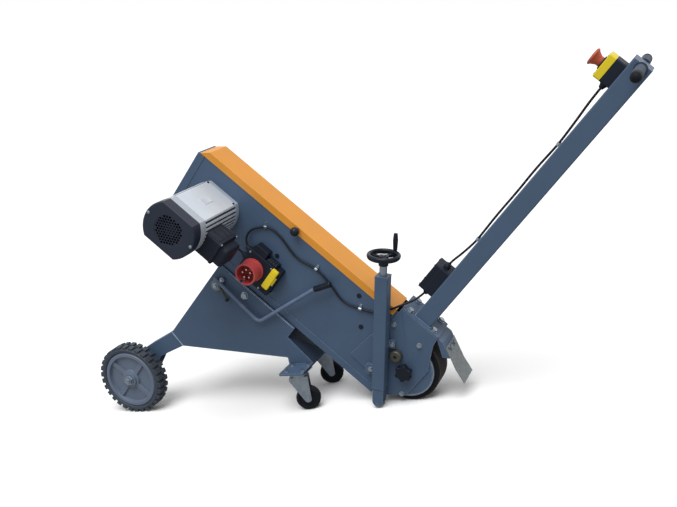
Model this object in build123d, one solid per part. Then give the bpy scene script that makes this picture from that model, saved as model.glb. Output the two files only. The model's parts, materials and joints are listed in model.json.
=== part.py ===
from build123d import *
import math
import os

os.makedirs("parts", exist_ok=True)

# Driving dimensions, in millimetres and degrees

# Belt, wheels and their layout
BODY_TILT = 47
FLOOR_GAP = 2
BELT_WIDTH = 75
BELT_THICK = 1.5
BELT_GAP = 0.3
CONTACT_R = 98.5
TYRE_THICK = 15
AXLE_R = 10
BEARING_R = 21
BEARING_WIDTH = 12
DRIVE_R = 60
DRIVE_SPAN = 747
ROLLER_R = 22
ROLLER_INSET = 337
ROLLER_PUSH = 12
PIVOT_INSET = 157
PIVOT_DROP = 8
TENSION_PIN_R = 8
TENSION_PIN = 22

# Fits
FIT = 0.05
GAP = 0.3

# Housing
HOUSING_WIDTH = 94
PANEL_THICK = 3
PANEL_TOP = 128
PANEL_FRONT = 33
HOUSING_DEPTH = 137
REAR_SPAN = 131
REAR_TOP = 106
REAR_CHAMFER = 45
SHEET = 2
PAN_LIP = 21
HOOD_LIP = 22
PLUG_R = 6
PLUG_SPOTS = ((506, 10), (241, 87), (180, 11))

# Top cover and its knob
COVER_TOP = 132
COVER_FRONT = 131
COVER_INSET = 30
COVER_LIP = 22
COVER_SLOPE = 26
COVER_THICK = 1.5
KNOB_SPOT = (502, 120)
KNOB_R = 13.5
STUD_R = 4

# Grinding head
HEAD_THICK = 5
HEAD_TOP = 147
HEAD_FRONT = -9
HEAD_BACK = 123
HEAD_NOSE = ((0, 0), (-5, 29), (-41, 103), (-41, 213), (4, 255), (50, 255))
HEAD_HEEL = ((-50, 233), (31, 228), (22, 137), (0, 87))
HEAD_BOLTS = ((111, 92), (17, 93), (-37, -70))
GUARD_THICK = 2.5
GUARD_CHEEK = (17, 13)
SPARK_THICK = 2
SPARK_WIDTH = 92
SPARK_LENGTH = 72
SPARK_TIP = 46
SPARK_TRAVEL = 8
SPARK_EDGE = 10
SPARK_BOLT_REACH = 26
SPARK_BOLT_Y = 18
TRACK_KNOB_R = 26
TRACK_KNOB_LENGTH = 28
TRACK_BUSH_R = 18
TRACK_BUSH_SPOT = (48, 21)
DISC_R = 84.5
DISC_THICK = 2

# Handle arm and grips
ARM_CENTRE = 54
ARM_WIDTH = 54
ARM_DEPTH = 82
ARM_WALL = 3
ARM_LENGTH = 904
FOOT_THICK = 5
FOOT_BOLT_Y = 38
FOOT_BOLT_INSET = 23
BAR_R = 8
BAR_INSET = 12
GRIP_R = 13.5
GRIP_LENGTH = 162
GRIP_RING_R = 17
GRIP_RING = 3

# Emergency stop, junction box and cables
STOP_INSET = 26
STOP_LENGTH = 67
STOP_DEPTH = 66
STOP_BASE = 29
STOP_LID = 20
STOP_STEM_R = 13
STOP_CAP_R = 23
STOP_TRAVEL = 4
JUNCTION_FOOT = 73
JUNCTION_LENGTH = 90
JUNCTION_HEIGHT = 49
JUNCTION_DEPTH = 66
CABLE_R = 3.25
CLIP_WALL = 1.7
CLIP_RUN = 14
HEAD_CLIP = 215
ARM_CLIPS = (0.3186, 0.6925)
GLAND_R = 10
GLAND_LENGTH = 15

# Motor
MOTOR_R = 83
MOTOR_FLAT = 63.5
FRONT_SHIELD = 19
STATOR_LENGTH = 174
REAR_SHIELD = 30
FAN_COVER = 35
FAN_COVER_LIP = 1
FAN_COVER_WALL = 2.5
FAN_R = 56
ROTOR_R = 44
SHAFT_R = 12
FIN_PITCH = 10.4
FIN_SLOT = 5
FIN_ROOT = 71
GRILLE_R = 42
GRILLE_PITCH = 8.8
GRILLE_HOLE_R = 4
GRILLE_DISH = 1
TERMINAL_SIZE = (70, 78, 90)
TERMINAL_OFFSET = (-88, -3, -192)
TERMINAL_LID = 8
TERMINAL_DOME = 28

# Switch with mains inlet
SWITCH_INSET = 167
SWITCH_SIZE = (123, 94)
SWITCH_LOW = -104
SWITCH_DEPTH = 33
RELAY_INSET = 9
RELAY_SIZE = (47, 22)
INLET_INSET = (43, 42)
INLET_R = 33
INLET_WALL = 5
INLET_LENGTH = 48
INLET_FLANGE = 5
PIN_R = 2.8
PIN_CIRCLE = 13
FLAP_INSET = (8, 23)
FLAP_SIZE = (22, 72)
FLAP_DEPTH = 10
FLAP_WALL = 2
HINGE_R = 2.5
HINGE_PIN_R = 1.2
HINGE_BARREL = 30
HINGE_KNUCKLE = 6
BUTTON_R = 7
BUTTON_HEIGHT = 4
BUTTON_TRAVEL = 3

# Undercarriage
SIDE_THICK = 4
SIDE_GAP = 2
SIDE_FRONT = 333
SIDE_REAR = 636
SIDE_STEP = 44
SIDE_FLANGE = 35
SIDE_SKIRT = 21
SHELF_TOP = 134
SHELF_THICK = 6
SHELF_X = (-376, -294)
SHELF_HALF = 132
LEG_ROOT_TOP = (-779, 258)
LEG_ROOT_LOW = (-750, 208)
LEG_KNEE_TOP = (112, 46)
LEG_KNEE_LOW = (100, 34)
LEG_INNER = 40
SPACER_SPOT = (516, -168)
SPACER_R = 11
LEVER_PIVOT = (607, -205)
LEVER_SHAFT_R = 10
LEVER_HUB_R = 18
LEVER_HUB = 10
LEVER_ROD_R = 6
LEVER_GRIP_R = 9
LEVER_EAR = (601, -174)
LEVER_EAR_R = 8
LEVER_LINK = 5
LEVER_PIN_R = 3.5
LEVER_PIN = ((-10, 7.8), (-59, -15))
LEVER_TIP_R = 5.5
LEVER_TIP = 9
LEVER_ROOT = (17, 22)
LEVER_BEND = (-26, -199)
LEVER_BEND_R = 22
LEVER_KNEE = (-102, 20)
LEVER_END = (-115, 42)
LEVER_SPREAD = 6
LEVER_GRIP = 58
CAM_R = 18
CAM_NOSE_R = 9
CAM_WIDTH = 20

# Rear wheel
REAR_X = -952
REAR_R = 117
REAR_WIDTH = 49
REAR_RIM_R = 95
REAR_FACE = -113
REAR_AXLE_R = 8
TREAD_HEIGHT = 6
TREAD_COUNT = 30

# Casters
CASTER_X = -330
CASTER_Y = 92
CASTER_TRAIL = 15
CASTER_R = 37.5
CASTER_WIDTH = 26
CASTER_PLATE = (74, 62, 3)
CASTER_CUP_R = 24
CASTER_CUP = 14
CASTER_TURN = 18
CASTER_PIN_R = 6
CASTER_AXLE_R = 4
FORK_THICK = 2.5
CROWN_THICK = 4
CROWN_BACK = 30
CROWN_FRONT = 28

# Depth column
COLUMN_LEAN = 13
COLUMN_X = -95
COLUMN_Y = -77
COLUMN_SIZE = 38
COLUMN_WALL = 2.5
COLUMN_FOOT = 66
COLUMN_HEAD = 411
COLUMN_CAP = 4
SLIDE_WALL = 3
SLIDE_TOP = 300
SLIDE_FOOT = 7
SPINDLE_R = 7
SPINDLE_FOOT = 150
COLLAR_R = 11
COLLAR = 29
WHEEL_RISE = 29.7
WHEEL_R = 42
WHEEL_RIM_R = 6
WHEEL_HUB_R = 14
CRANK_ANGLE = 60
CRANK_R = 7.5
CRANK_LENGTH = 50
CRANK_PIN_R = 4
DEPTH_ROLLER_R = 14
DEPTH_ROLLER_WIDTH = 22
LUG_THICK = 10

# Hex bolts: thread radius of each size
BOLT_R = {"M6": 3, "M8": 4, "M10": 5, "M12": 6}

# Values worked out from the driving dimensions
HALF = HOUSING_WIDTH / 2
HEAD_FACE = HALF + HEAD_THICK
FOOT_TOP = HEAD_TOP + FOOT_THICK
HOUSING_REAR = DRIVE_SPAN + REAR_SPAN
COVER_REAR = HOUSING_REAR - COVER_INSET
ROLLER_SPAN = DRIVE_SPAN - ROLLER_INSET
TENSION_PIVOT = (DRIVE_SPAN - PIVOT_INSET, -PIVOT_DROP)
ARM_FACE = ARM_CENTRE + ARM_WIDTH / 2
ARM_END = FOOT_TOP + ARM_LENGTH
SIDE_IN = HALF + SHEET + SIDE_GAP
SIDE_OUT = SIDE_IN + SIDE_THICK
PAN_LOW = -HOUSING_DEPTH - SHEET
AXLE_Z = CONTACT_R + BELT_GAP + BELT_THICK + FLOOR_GAP
MOTOR_BACK = -HALF - FRONT_SHIELD
STATOR_BACK = MOTOR_BACK - STATOR_LENGTH
SHIELD_BACK = STATOR_BACK - REAR_SHIELD
MOTOR_END = SHIELD_BACK - FAN_COVER
SWITCH_FACE = -HALF - SWITCH_DEPTH
CABLE_Y = -HALF - CABLE_R - CLIP_WALL

TILT = math.radians(BODY_TILT)
BODY = Plane(origin=(0, 0, AXLE_Z), x_dir=(-math.cos(TILT), 0, math.sin(TILT)), z_dir=(0, 1, 0))
LEAN = math.radians(COLUMN_LEAN)
COLUMN = Plane(
    origin=(COLUMN_X, COLUMN_Y, 0),
    x_dir=(math.cos(LEAN), 0, -math.sin(LEAN)),
    z_dir=(math.sin(LEAN), 0, math.cos(LEAN)),
)

# Node name to solid, filled in below. Housing pieces are drawn in the housing's own axes: x runs up the
# belt from the contact wheel, y stands square to the belt, z runs across the machine.
nodes = {}


def place(name, solid, plane=BODY):
    """Put a solid drawn in a plane's axes where it belongs and keep it as a node."""
    nodes[name] = plane.location * solid


def group(*solids):
    """Separate solids of one node."""
    return Compound(children=[piece for item in solids for piece in item.solids()])


def raised(sketch, height):
    """Sketch in the x-y plane, thickened upwards."""
    return extrude(sketch, height, dir=(0, 0, 1))


def prism(points, low, high):
    """Outline in the x-y plane, thickened along z."""
    return Pos(0, 0, low) * raised(Polygon(*points, align=None), high - low)


def block(x_span, y_span, z_span):
    """Box between three pairs of limits."""
    centre = [(span[0] + span[1]) / 2 for span in (x_span, y_span, z_span)]
    size = [span[1] - span[0] for span in (x_span, y_span, z_span)]
    return Pos(*centre) * Box(*size)


def rod(spot, radius, low, high):
    """Round bar along z."""
    return Pos(spot[0], spot[1], (low + high) / 2) * Cylinder(radius, high - low)


def ring(spot, outer, inner, low, high):
    """Tube along z."""
    return rod(spot, outer, low, high) - rod(spot, inner, low, high)


def local(x, z):
    """Floor coordinates, seen from the side, in the housing's axes."""
    point = BODY.to_local_coords(Vector(x, 0, z))
    return (point.X, point.Y)


def across(solid):
    """The same piece on the other side of the machine."""
    return mirror(solid, about=Plane.XY)


def rounded(solid, radius, axis=Axis.Z):
    """Corners rounded along one axis."""
    return fillet(solid.edges().filter_by(axis), radius)


def bent_sheet(points, radius, thick, low, high):
    """Folded sheet: a centre line in the x-y plane with rounded bends."""
    line = FilletPolyline(*points, radius=radius)
    return Pos(0, 0, low) * raised(trace(line, thick), high - low)


def tube(points, radius):
    """Round cable along a route of straight runs and the widest tangent arcs."""
    runs = [(Vector(*b) - Vector(*a)) for a, b in zip(points, points[1:])]
    radii = []
    for before, after in zip(runs, runs[1:]):
        turn = math.radians(before.get_angle(after))
        radii.append(0.45 * min(before.length, after.length) / math.tan(turn / 2))
    line = FilletPolyline(*points, radius=radii)
    return sweep(Plane(line @ 0, z_dir=line % 0) * Circle(radius), path=line)


def bolt(size, grip):
    """Hex bolt with washer: seat at z = 0, head above it, shank below."""
    radius = BOLT_R[size]
    washer = 0.3 * radius
    head = Pos(0, 0, washer) * raised(RegularPolygon(1.75 * radius, 6, major_radius=True), 1.3 * radius)
    return head + rod((0, 0), 2.1 * radius, 0, washer) + rod((0, 0), radius, -grip, washer)


def drill(size, grip):
    """Clearance hole for a bolt, with its seat at z = 0."""
    return rod((0, 0), BOLT_R[size] + GAP, -grip - 1, 1)


NEAR = Rot(180, 0, 0)
UP = Rot(-90, 0, 0)
REARWARD = Rot(0, 90, 0)

# Housing shell
panel_outline = [
    (PANEL_FRONT, -HOUSING_DEPTH),
    (HOUSING_REAR - REAR_CHAMFER, -HOUSING_DEPTH),
    (HOUSING_REAR, REAR_CHAMFER - HOUSING_DEPTH),
    (HOUSING_REAR, REAR_TOP),
    (HOUSING_REAR - HOOD_LIP - 1, REAR_TOP),
    (COVER_REAR - 6, PANEL_TOP),
    (PANEL_FRONT, PANEL_TOP),
]
DRIVE = (DRIVE_SPAN, 0)
near_panel = prism(panel_outline, -HALF, PANEL_THICK - HALF) - rod(DRIVE, 2.5 * SHAFT_R, -HALF, HALF)
for spot in PLUG_SPOTS:
    near_panel -= rod(spot, PLUG_R, -HALF, 0)
stud_end = -HALF - COVER_THICK - KNOB_R
knob_stud = rod(KNOB_SPOT, STUD_R, stud_end, -HALF)
far_panel = prism(panel_outline, HALF - PANEL_THICK, HALF)
pivot_seat = Pos(*TENSION_PIVOT, HALF)
far_panel -= pivot_seat * drill("M10", PANEL_THICK)
pivot_bolt = pivot_seat * bolt("M10", PANEL_THICK)
pivot_bolt += rod(TENSION_PIVOT, TENSION_PIN_R, HALF - TENSION_PIN, HALF - PANEL_THICK)
place("near_side_panel", near_panel)
place("far_side_panel", far_panel)

hood_outline = [
    (HOUSING_REAR - HOOD_LIP, REAR_TOP + SHEET),
    (HOUSING_REAR + SHEET, REAR_TOP + SHEET),
    (HOUSING_REAR + SHEET, REAR_CHAMFER - HOUSING_DEPTH - 0.8),
    (HOUSING_REAR - REAR_CHAMFER + 0.8, PAN_LOW),
    (HOUSING_REAR - REAR_CHAMFER - HOOD_LIP, PAN_LOW),
    (HOUSING_REAR - HOOD_LIP, REAR_CHAMFER - HOUSING_DEPTH),
]
hood_inside = [
    (0, -HOUSING_DEPTH),
    (HOUSING_REAR - REAR_CHAMFER, -HOUSING_DEPTH),
    (HOUSING_REAR, REAR_CHAMFER - HOUSING_DEPTH),
    (HOUSING_REAR, REAR_TOP),
    (0, REAR_TOP),
]
hood = prism(hood_outline, -HALF - SHEET, HALF + SHEET) - prism(hood_inside, -HALF, HALF)
place("rear_hood", hood)

pan_span = (PANEL_FRONT, HOUSING_REAR - REAR_CHAMFER - HOOD_LIP)
pan = block(pan_span, (PAN_LOW, PAN_LOW + PAN_LIP + SHEET), (-HALF - SHEET, HALF + SHEET))
pan -= block((0, DRIVE_SPAN + HOUSING_REAR), (-HOUSING_DEPTH, 0), (-HALF, HALF))
place("bottom_pan", pan)

# Top cover, lifted off square to the belt once its knob is loose
cover_low = COVER_TOP - COVER_LIP
cover_in = HALF + GAP
cover_out = cover_in + COVER_THICK
wall_run = COVER_THICK * math.hypot(COVER_SLOPE, COVER_LIP) / COVER_LIP
slope = COVER_SLOPE / COVER_LIP
cover = prism(
    [
        (COVER_FRONT, cover_low),
        (COVER_REAR + COVER_SLOPE, cover_low),
        (COVER_REAR, COVER_TOP),
        (COVER_FRONT, COVER_TOP),
    ],
    -cover_out,
    cover_out,
)
inside_top = COVER_TOP - COVER_THICK
cover -= prism(
    [
        (COVER_FRONT - 1, cover_low - 1),
        (COVER_REAR + COVER_SLOPE + slope - wall_run, cover_low - 1),
        (COVER_REAR + slope * COVER_THICK - wall_run, inside_top),
        (COVER_FRONT - 1, inside_top),
    ],
    -cover_in,
    cover_in,
)
lip_half = HALF - PANEL_THICK - 1
cover += block((COVER_FRONT, COVER_FRONT + COVER_THICK), (cover_low, COVER_TOP), (-lip_half, lip_half))
slot_half = STUD_R + 1
cover -= block(
    (KNOB_SPOT[0] - slot_half, KNOB_SPOT[0] + slot_half),
    (cover_low - 1, KNOB_SPOT[1] + slot_half),
    (-cover_out - 1, 0),
)
place("top_cover", cover)
knob_centre = -cover_out - GAP - KNOB_R
knob = Pos(*KNOB_SPOT, knob_centre) * Sphere(KNOB_R)
knob += rod(KNOB_SPOT, 0.7 * KNOB_R, knob_centre, -cover_out - GAP)
knob -= rod(KNOB_SPOT, STUD_R + FIT, stud_end - 1, 0)
place("cover_knob", knob)

# Grinding head
head_outline = [(HEAD_BACK, HEAD_TOP)]
head_outline += [(HEAD_FRONT + reach, HEAD_TOP - drop) for reach, drop in HEAD_NOSE]
head_outline += [(HEAD_BACK + reach, HEAD_TOP - drop) for reach, drop in HEAD_HEEL]
near_head = rounded(prism(head_outline, -HEAD_FACE, -HALF), 3) - rod((0, 0), AXLE_R + FIT, -HEAD_FACE, 0)
disc_face = DISC_THICK - HALF
side_disc = ring((0, 0), DISC_R, 1.4 * AXLE_R + GAP, -HALF, disc_face)
side_disc -= ring((0, 0), DISC_R - 4, DISC_R - 7, -HALF, DISC_THICK / 2 - HALF)
near_head += side_disc - block((PANEL_FRONT - GAP, DISC_R), (-DISC_R, DISC_R), (-HALF, disc_face))
far_head = across(near_head)
head_span = (HEAD_FRONT, HEAD_BACK)
head_top = block(head_span, (HEAD_TOP - HEAD_THICK, HEAD_TOP), (-HALF, HALF))

# Guard over the front of the contact wheel, and the spark plate bolted on it through slots
guard_start = Vector(HEAD_FRONT - 19, HEAD_TOP - GUARD_THICK)
guard_mid = Vector(HEAD_FRONT - 63, HEAD_TOP - 26)
guard_line = [
    (HEAD_FRONT, guard_start.Y),
    (guard_start.X, guard_start.Y),
    (guard_mid.X, guard_mid.Y),
]
guard = bent_sheet(guard_line, 8, GUARD_THICK, -HALF, HALF)
guard_cheek = prism(
    [
        (HEAD_FRONT, guard_start.Y),
        (guard_start.X, guard_start.Y),
        (guard_mid.X, guard_mid.Y),
        (guard_mid.X + GUARD_CHEEK[0], guard_mid.Y - GUARD_CHEEK[1]),
        (HEAD_FRONT, guard_start.Y - GUARD_THICK),
    ],
    -HALF,
    GUARD_THICK - HALF,
)
guard += guard_cheek + across(guard_cheek)
spark_along = (guard_mid - guard_start).normalized()
spark_out = Vector(spark_along.Y, -spark_along.X)
spark_plane = Plane(
    origin=guard_start + spark_along * SPARK_BOLT_REACH + spark_out * (GUARD_THICK / 2),
    x_dir=(spark_along.X, spark_along.Y, 0),
    z_dir=(spark_out.X, spark_out.Y, 0),
)
spark_low = GAP / 2
spark_half = (-SPARK_WIDTH / 2, SPARK_WIDTH / 2)
spark_bend = SPARK_LENGTH - SPARK_EDGE
spark_flat = block((-SPARK_EDGE, spark_bend), spark_half, (spark_low, spark_low + SPARK_THICK))
spark_tip = block((0, SPARK_TIP), spark_half, (0, SPARK_THICK))
spark = spark_flat + Pos(spark_bend, 0, spark_low) * Rot(0, -8, 0) * spark_tip
spark_bolts = []
for side in (-SPARK_BOLT_Y, SPARK_BOLT_Y):
    slot = SlotOverall(SPARK_TRAVEL + 2 * (BOLT_R["M8"] + 0.5), 2 * (BOLT_R["M8"] + 0.5))
    spark -= Pos(SPARK_TRAVEL / 2, side, 0) * extrude(slot, 3 * SPARK_THICK, both=True)
    seat = Pos(0, side, spark_low + SPARK_THICK + GAP / 2)
    spark_bolts.append(spark_plane.location * seat * bolt("M8", SPARK_THICK + GUARD_THICK + GAP))
    guard -= spark_plane.location * seat * drill("M8", SPARK_THICK + GUARD_THICK + GAP)
place("wheel_guard", guard)
place("spark_plate", spark_plane.location * spark)

# Contact wheel on its axle, with the tracking knob on the near end
hub_r = CONTACT_R - TYRE_THICK
wheel_half = BELT_WIDTH / 2
hub_profile = [
    (BEARING_R + FIT, -wheel_half),
    (BEARING_R + 8, -wheel_half),
    (BEARING_R + 8, -7),
    (hub_r - 10, -7),
    (hub_r - 8, -wheel_half),
    (hub_r, -wheel_half),
    (hub_r, wheel_half),
    (hub_r - 8, wheel_half),
    (hub_r - 10, 7),
    (BEARING_R + 8, 7),
    (BEARING_R + 8, wheel_half),
    (BEARING_R + FIT, wheel_half),
]


def turned(profile):
    """Solid of revolution about z from a radius-height outline."""
    return revolve(Plane.XZ * Polygon(*profile, align=None), Axis.Z)


contact_hub = turned(hub_profile)
for loc in PolarLocations((BEARING_R + hub_r) / 2 - 1, 6):
    contact_hub -= loc * Cylinder(12, BELT_WIDTH)
place("contact_hub", contact_hub)
tyre = ring((0, 0), CONTACT_R, hub_r + FIT, -wheel_half, wheel_half)
place("contact_tyre", tyre)
bearing = ring((0, 0), BEARING_R, AXLE_R + FIT, wheel_half - BEARING_WIDTH, wheel_half)
place("contact_bearings", group(bearing, across(bearing)))
track_foot = -HEAD_FACE - 2
track_end = track_foot - TRACK_KNOB_LENGTH
axle = rod((0, 0), AXLE_R, -HEAD_FACE, HEAD_FACE + 12)
axle_spacer = rod((0, 0), 1.4 * AXLE_R, wheel_half + GAP, HALF)
axle += axle_spacer + across(axle_spacer)
axle += rod((0, 0), 0.6 * AXLE_R, track_end + 8, -HEAD_FACE)
axle_nut = Pos(0, 0, HEAD_FACE) * raised(RegularPolygon(1.8 * AXLE_R, 6), 9)
axle_nut -= rod((0, 0), AXLE_R + FIT, 0, 2 * HEAD_FACE)
bush_low = -HEAD_FACE - 20
bush = rod(TRACK_BUSH_SPOT, TRACK_BUSH_R, bush_low, -HEAD_FACE)
bush = chamfer(bush.edges().group_by(Axis.Z)[0], 3)
bush -= Pos(*TRACK_BUSH_SPOT, bush_low) * raised(RegularPolygon(6, 6), 8)
place("contact_axle", group(axle, axle_nut, bush))
lobes = Circle(0.8 * TRACK_KNOB_R)
for loc in PolarLocations(0.72 * TRACK_KNOB_R, 6):
    lobes += loc * Circle(0.28 * TRACK_KNOB_R)
track_knob = Pos(0, 0, track_end) * raised(lobes, 0.65 * TRACK_KNOB_LENGTH)
track_knob = fillet(track_knob.edges().group_by(Axis.Z)[0], 2)
track_knob += rod((0, 0), 0.5 * TRACK_KNOB_R, track_end + 6, track_foot)
track_knob -= rod((0, 0), 0.6 * AXLE_R + FIT, track_end + 7, track_foot)
place("tracking_knob", track_knob)

# Belt drive: tension roller inside the lower run, belt round contact wheel, drive wheel and roller
belt_contact = CONTACT_R + BELT_GAP
belt_drive = DRIVE_R + BELT_GAP
belt_roller = ROLLER_R + BELT_GAP
run_sine = (belt_contact - belt_drive) / DRIVE_SPAN
run_cosine = math.sqrt(1 - run_sine**2)
lower_run = -(belt_contact - ROLLER_SPAN * run_sine) / run_cosine
TENSION = (ROLLER_SPAN, lower_run + belt_roller - ROLLER_PUSH)


def outer_tangent(a, a_r, b, b_r):
    """Ends of the line that touches two circles on its right-hand side, going from a to b."""
    span = Vector(b[0] - a[0], b[1] - a[1])
    along = span.normalized()
    right = Vector(along.Y, -along.X)
    sine = (a_r - b_r) / span.length
    normal = right * math.sqrt(1 - sine**2) + along * sine
    return Vector(*a) + normal * a_r, Vector(*b) + normal * b_r


def belt_loop(extra):
    """Face inside the belt's line, grown outwards."""
    wheels = [((0, 0), belt_contact + extra), (TENSION, belt_roller + extra), (DRIVE, belt_drive + extra)]
    edges = []
    tangents = [outer_tangent(*wheels[i], *wheels[(i + 1) % 3]) for i in range(3)]
    for i, (start, end) in enumerate(tangents):
        edges.append(Line(start, end))
        leave = tangents[(i + 1) % 3][0]
        centre = Vector(*wheels[(i + 1) % 3][0])
        reach = wheels[(i + 1) % 3][1]
        middle = ((end - centre) + (leave - centre))
        if (end - centre).cross(leave - centre).Z < 0:
            middle = middle * -1
        edges.append(ThreePointArc(end, centre + middle.normalized() * reach, leave))
    return make_face(edges), sum(edge.length for edge in edges)


inner_face, inner_length = belt_loop(0)
outer_face, outer_length = belt_loop(BELT_THICK)
print("belt length", round((inner_length + outer_length) / 2, 1))
belt = Pos(0, 0, -BELT_WIDTH / 2) * raised(outer_face - inner_face, BELT_WIDTH)
place("sanding_belt", belt)

arm_high = HALF - PANEL_THICK - 0.5
arm_low = arm_high - 5
tension_sketch = make_hull((Pos(*TENSION_PIVOT) * Circle(15) + Pos(*TENSION) * Circle(11)).edges())
tension_arm = Pos(0, 0, arm_low) * raised(tension_sketch, arm_high - arm_low)
tension_arm -= rod(TENSION_PIVOT, TENSION_PIN_R + FIT, 0, HALF)
tension_arm += rod(TENSION, 6, -wheel_half + 1, arm_low)
spring_leg = Vector(*TENSION) - Vector(*TENSION_PIVOT)
leg_angle = math.degrees(math.atan2(spring_leg.Y, spring_leg.X))
spring = ring(TENSION_PIVOT, TENSION_PIN_R + 4, TENSION_PIN_R + GAP, HALF - 20, arm_low - GAP)
spring_end = block((TENSION_PIN_R + 2, 60), (-1.5, 1.5), (-1.5, 1.5))
spring += Pos(*TENSION_PIVOT, arm_low - 2) * Rot(0, 0, leg_angle) * spring_end
place("tension_arm", group(tension_arm, spring))
roller_end = arm_low - 1
tension_roller = ring(TENSION, ROLLER_R, 6 + FIT, -wheel_half + 1, roller_end)
for low, high in ((-wheel_half, -wheel_half + 12), (roller_end - 11, roller_end + 1)):
    tension_roller -= ring(TENSION, ROLLER_R - 4, 12, low, high)
place("tension_roller", tension_roller)

# Motor on the near panel
MOTOR = Pos(*DRIVE, 0)


def motor_outline(extra=0):
    """Round motor section with two flats."""
    return Circle(MOTOR_R + extra) & Rectangle(3 * MOTOR_R, 2 * (MOTOR_FLAT + extra))


stator_sketch = motor_outline()
slots = int((MOTOR_FLAT - FIN_SLOT / 2) / FIN_PITCH + 0.5)
fin_slots = Sketch()
for index in range(-slots, slots):
    fin_slots += Pos(0, (index + 0.5) * FIN_PITCH) * Rectangle(3 * MOTOR_R, FIN_SLOT)
stator_sketch -= fin_slots - Circle(FIN_ROOT)
stator = Pos(0, 0, STATOR_BACK) * raised(stator_sketch - Circle(ROTOR_R + 1), STATOR_LENGTH)
place("motor_body", MOTOR * stator)
front_shield = Pos(0, 0, MOTOR_BACK) * raised(motor_outline(-2) - Circle(SHAFT_R + FIT), FRONT_SHIELD)
rear_shield = Pos(0, 0, SHIELD_BACK) * raised(motor_outline() - Circle(SHAFT_R + FIT), REAR_SHIELD)
place("motor_end_shields", MOTOR * group(front_shield, rear_shield))
fan_cover = Pos(0, 0, MOTOR_END) * raised(motor_outline(FAN_COVER_LIP), FAN_COVER)
fan_cover = fillet(fan_cover.edges().group_by(Axis.Z)[0], 5)
fan_room = raised(motor_outline(FAN_COVER_LIP - FAN_COVER_WALL), FAN_COVER)
fan_cover -= Pos(0, 0, MOTOR_END + FAN_COVER_WALL) * fan_room
grille_count = 2 * int(GRILLE_R / GRILLE_PITCH) + 3
holes = Sketch()
for loc in HexLocations(GRILLE_PITCH / 2, grille_count, grille_count):
    if loc.position.length < GRILLE_R:
        holes += loc * RegularPolygon(GRILLE_HOLE_R, 6, rotation=30)
fan_cover -= Pos(0, 0, MOTOR_END - 1) * raised(holes, FAN_COVER_WALL + 2)
fan_cover -= rod((0, 0), GRILLE_R + 4, MOTOR_END - 1, MOTOR_END + GRILLE_DISH)
place("fan_cover", MOTOR * fan_cover)
rotor = rod((0, 0), SHAFT_R, MOTOR_END + 16, wheel_half)
rotor += rod((0, 0), ROTOR_R, STATOR_BACK + 14, MOTOR_BACK - 14)
fan_back = MOTOR_END + 9
fan_front = SHIELD_BACK - 4
fan = ring((0, 0), SHAFT_R + 8, SHAFT_R + FIT, MOTOR_END + 15, fan_front)
fan += ring((0, 0), FAN_R, SHAFT_R + 4, fan_front - 2.5, fan_front)
for loc in PolarLocations(0, 8):
    fan += loc * block((SHAFT_R + 6, FAN_R), (-1.2, 1.2), (fan_back, fan_front))
place("motor_rotor", MOTOR * group(rotor, fan))
drive_profile = [
    (SHAFT_R + FIT, -wheel_half),
    (SHAFT_R + 10, -wheel_half),
    (SHAFT_R + 10, -7),
    (DRIVE_R - 9, -7),
    (DRIVE_R - 8, -wheel_half),
    (DRIVE_R - 0.6, -wheel_half),
    (DRIVE_R, -10),
    (DRIVE_R, 10),
    (DRIVE_R - 0.6, wheel_half),
    (DRIVE_R - 8, wheel_half),
    (DRIVE_R - 9, 7),
    (SHAFT_R + 10, 7),
    (SHAFT_R + 10, wheel_half),
    (SHAFT_R + FIT, wheel_half),
]
place("drive_wheel", MOTOR * turned(drive_profile))

# Terminal box saddled on the motor's lower front side, lid square to the belt
box_u, box_n, box_y = TERMINAL_SIZE
TERMINAL_CENTRE = (DRIVE_SPAN + TERMINAL_OFFSET[0], *TERMINAL_OFFSET[1:])
terminal = rounded(Box(box_u, box_n, box_y), 10, Axis.X)
for index in range(-3, 4):
    terminal += Pos(0, box_n / 2 + 0.5, index * box_y / 9) * Box(box_u - 14, 2, 3)
terminal = Pos(*TERMINAL_CENTRE) * terminal
motor_room = Pos(0, 0, SHIELD_BACK) * raised(motor_outline(GAP), -SHIELD_BACK - HALF)
terminal -= MOTOR * motor_room
terminal = terminal.solids().sort_by(SortBy.VOLUME)[-1]
lid_u = TERMINAL_CENTRE[0] - (box_u + TERMINAL_LID) / 2
lid = rounded(Box(TERMINAL_LID, box_n + 4, box_y + 4), 12, Axis.X)
lid = fillet(lid.faces().sort_by(Axis.X)[0].edges(), 2.5)
dome = Pos(-(TERMINAL_LID + TERMINAL_DOME) / 2, -3, 0) * Box(TERMINAL_DOME, box_n - 12, box_y - 12)
dome = fillet(dome.edges().filter_by(Axis.X), 14)
dome = fillet(dome.faces().sort_by(Axis.X)[0].edges(), 10)
place("terminal_box", group(terminal, Pos(lid_u, *TERMINAL_CENTRE[1:]) * (lid + dome)))

# Switch box on the near panel, with mains inlet, flap and two buttons
box_u1 = DRIVE_SPAN - SWITCH_INSET
box_u0 = box_u1 - SWITCH_SIZE[0]
box_n0 = SWITCH_LOW
box_n1 = box_n0 + SWITCH_SIZE[1]
INLET_SPOT = (box_u1 - INLET_INSET[0], box_n0 + INLET_INSET[1])
switch = rounded(block((box_u0, box_u1), (box_n0, box_n1), (SWITCH_FACE, -HALF)), 5)
switch = fillet(switch.faces().sort_by(Axis.Z)[0].edges(), 2)
relay_u1 = box_u1 - RELAY_INSET
relay_span = (relay_u1 - RELAY_SIZE[0], relay_u1)
relay = rounded(block(relay_span, (box_n1 - 5, box_n1 + RELAY_SIZE[1]), (SWITCH_FACE + 4, -HALF)), 4)
switch += fillet(relay.faces().sort_by(Axis.Z)[0].edges(), 2)
inlet_end = SWITCH_FACE - INLET_LENGTH
inlet_floor = SWITCH_FACE - INLET_FLANGE
inlet = rod(INLET_SPOT, INLET_R, inlet_end, SWITCH_FACE)
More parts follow.
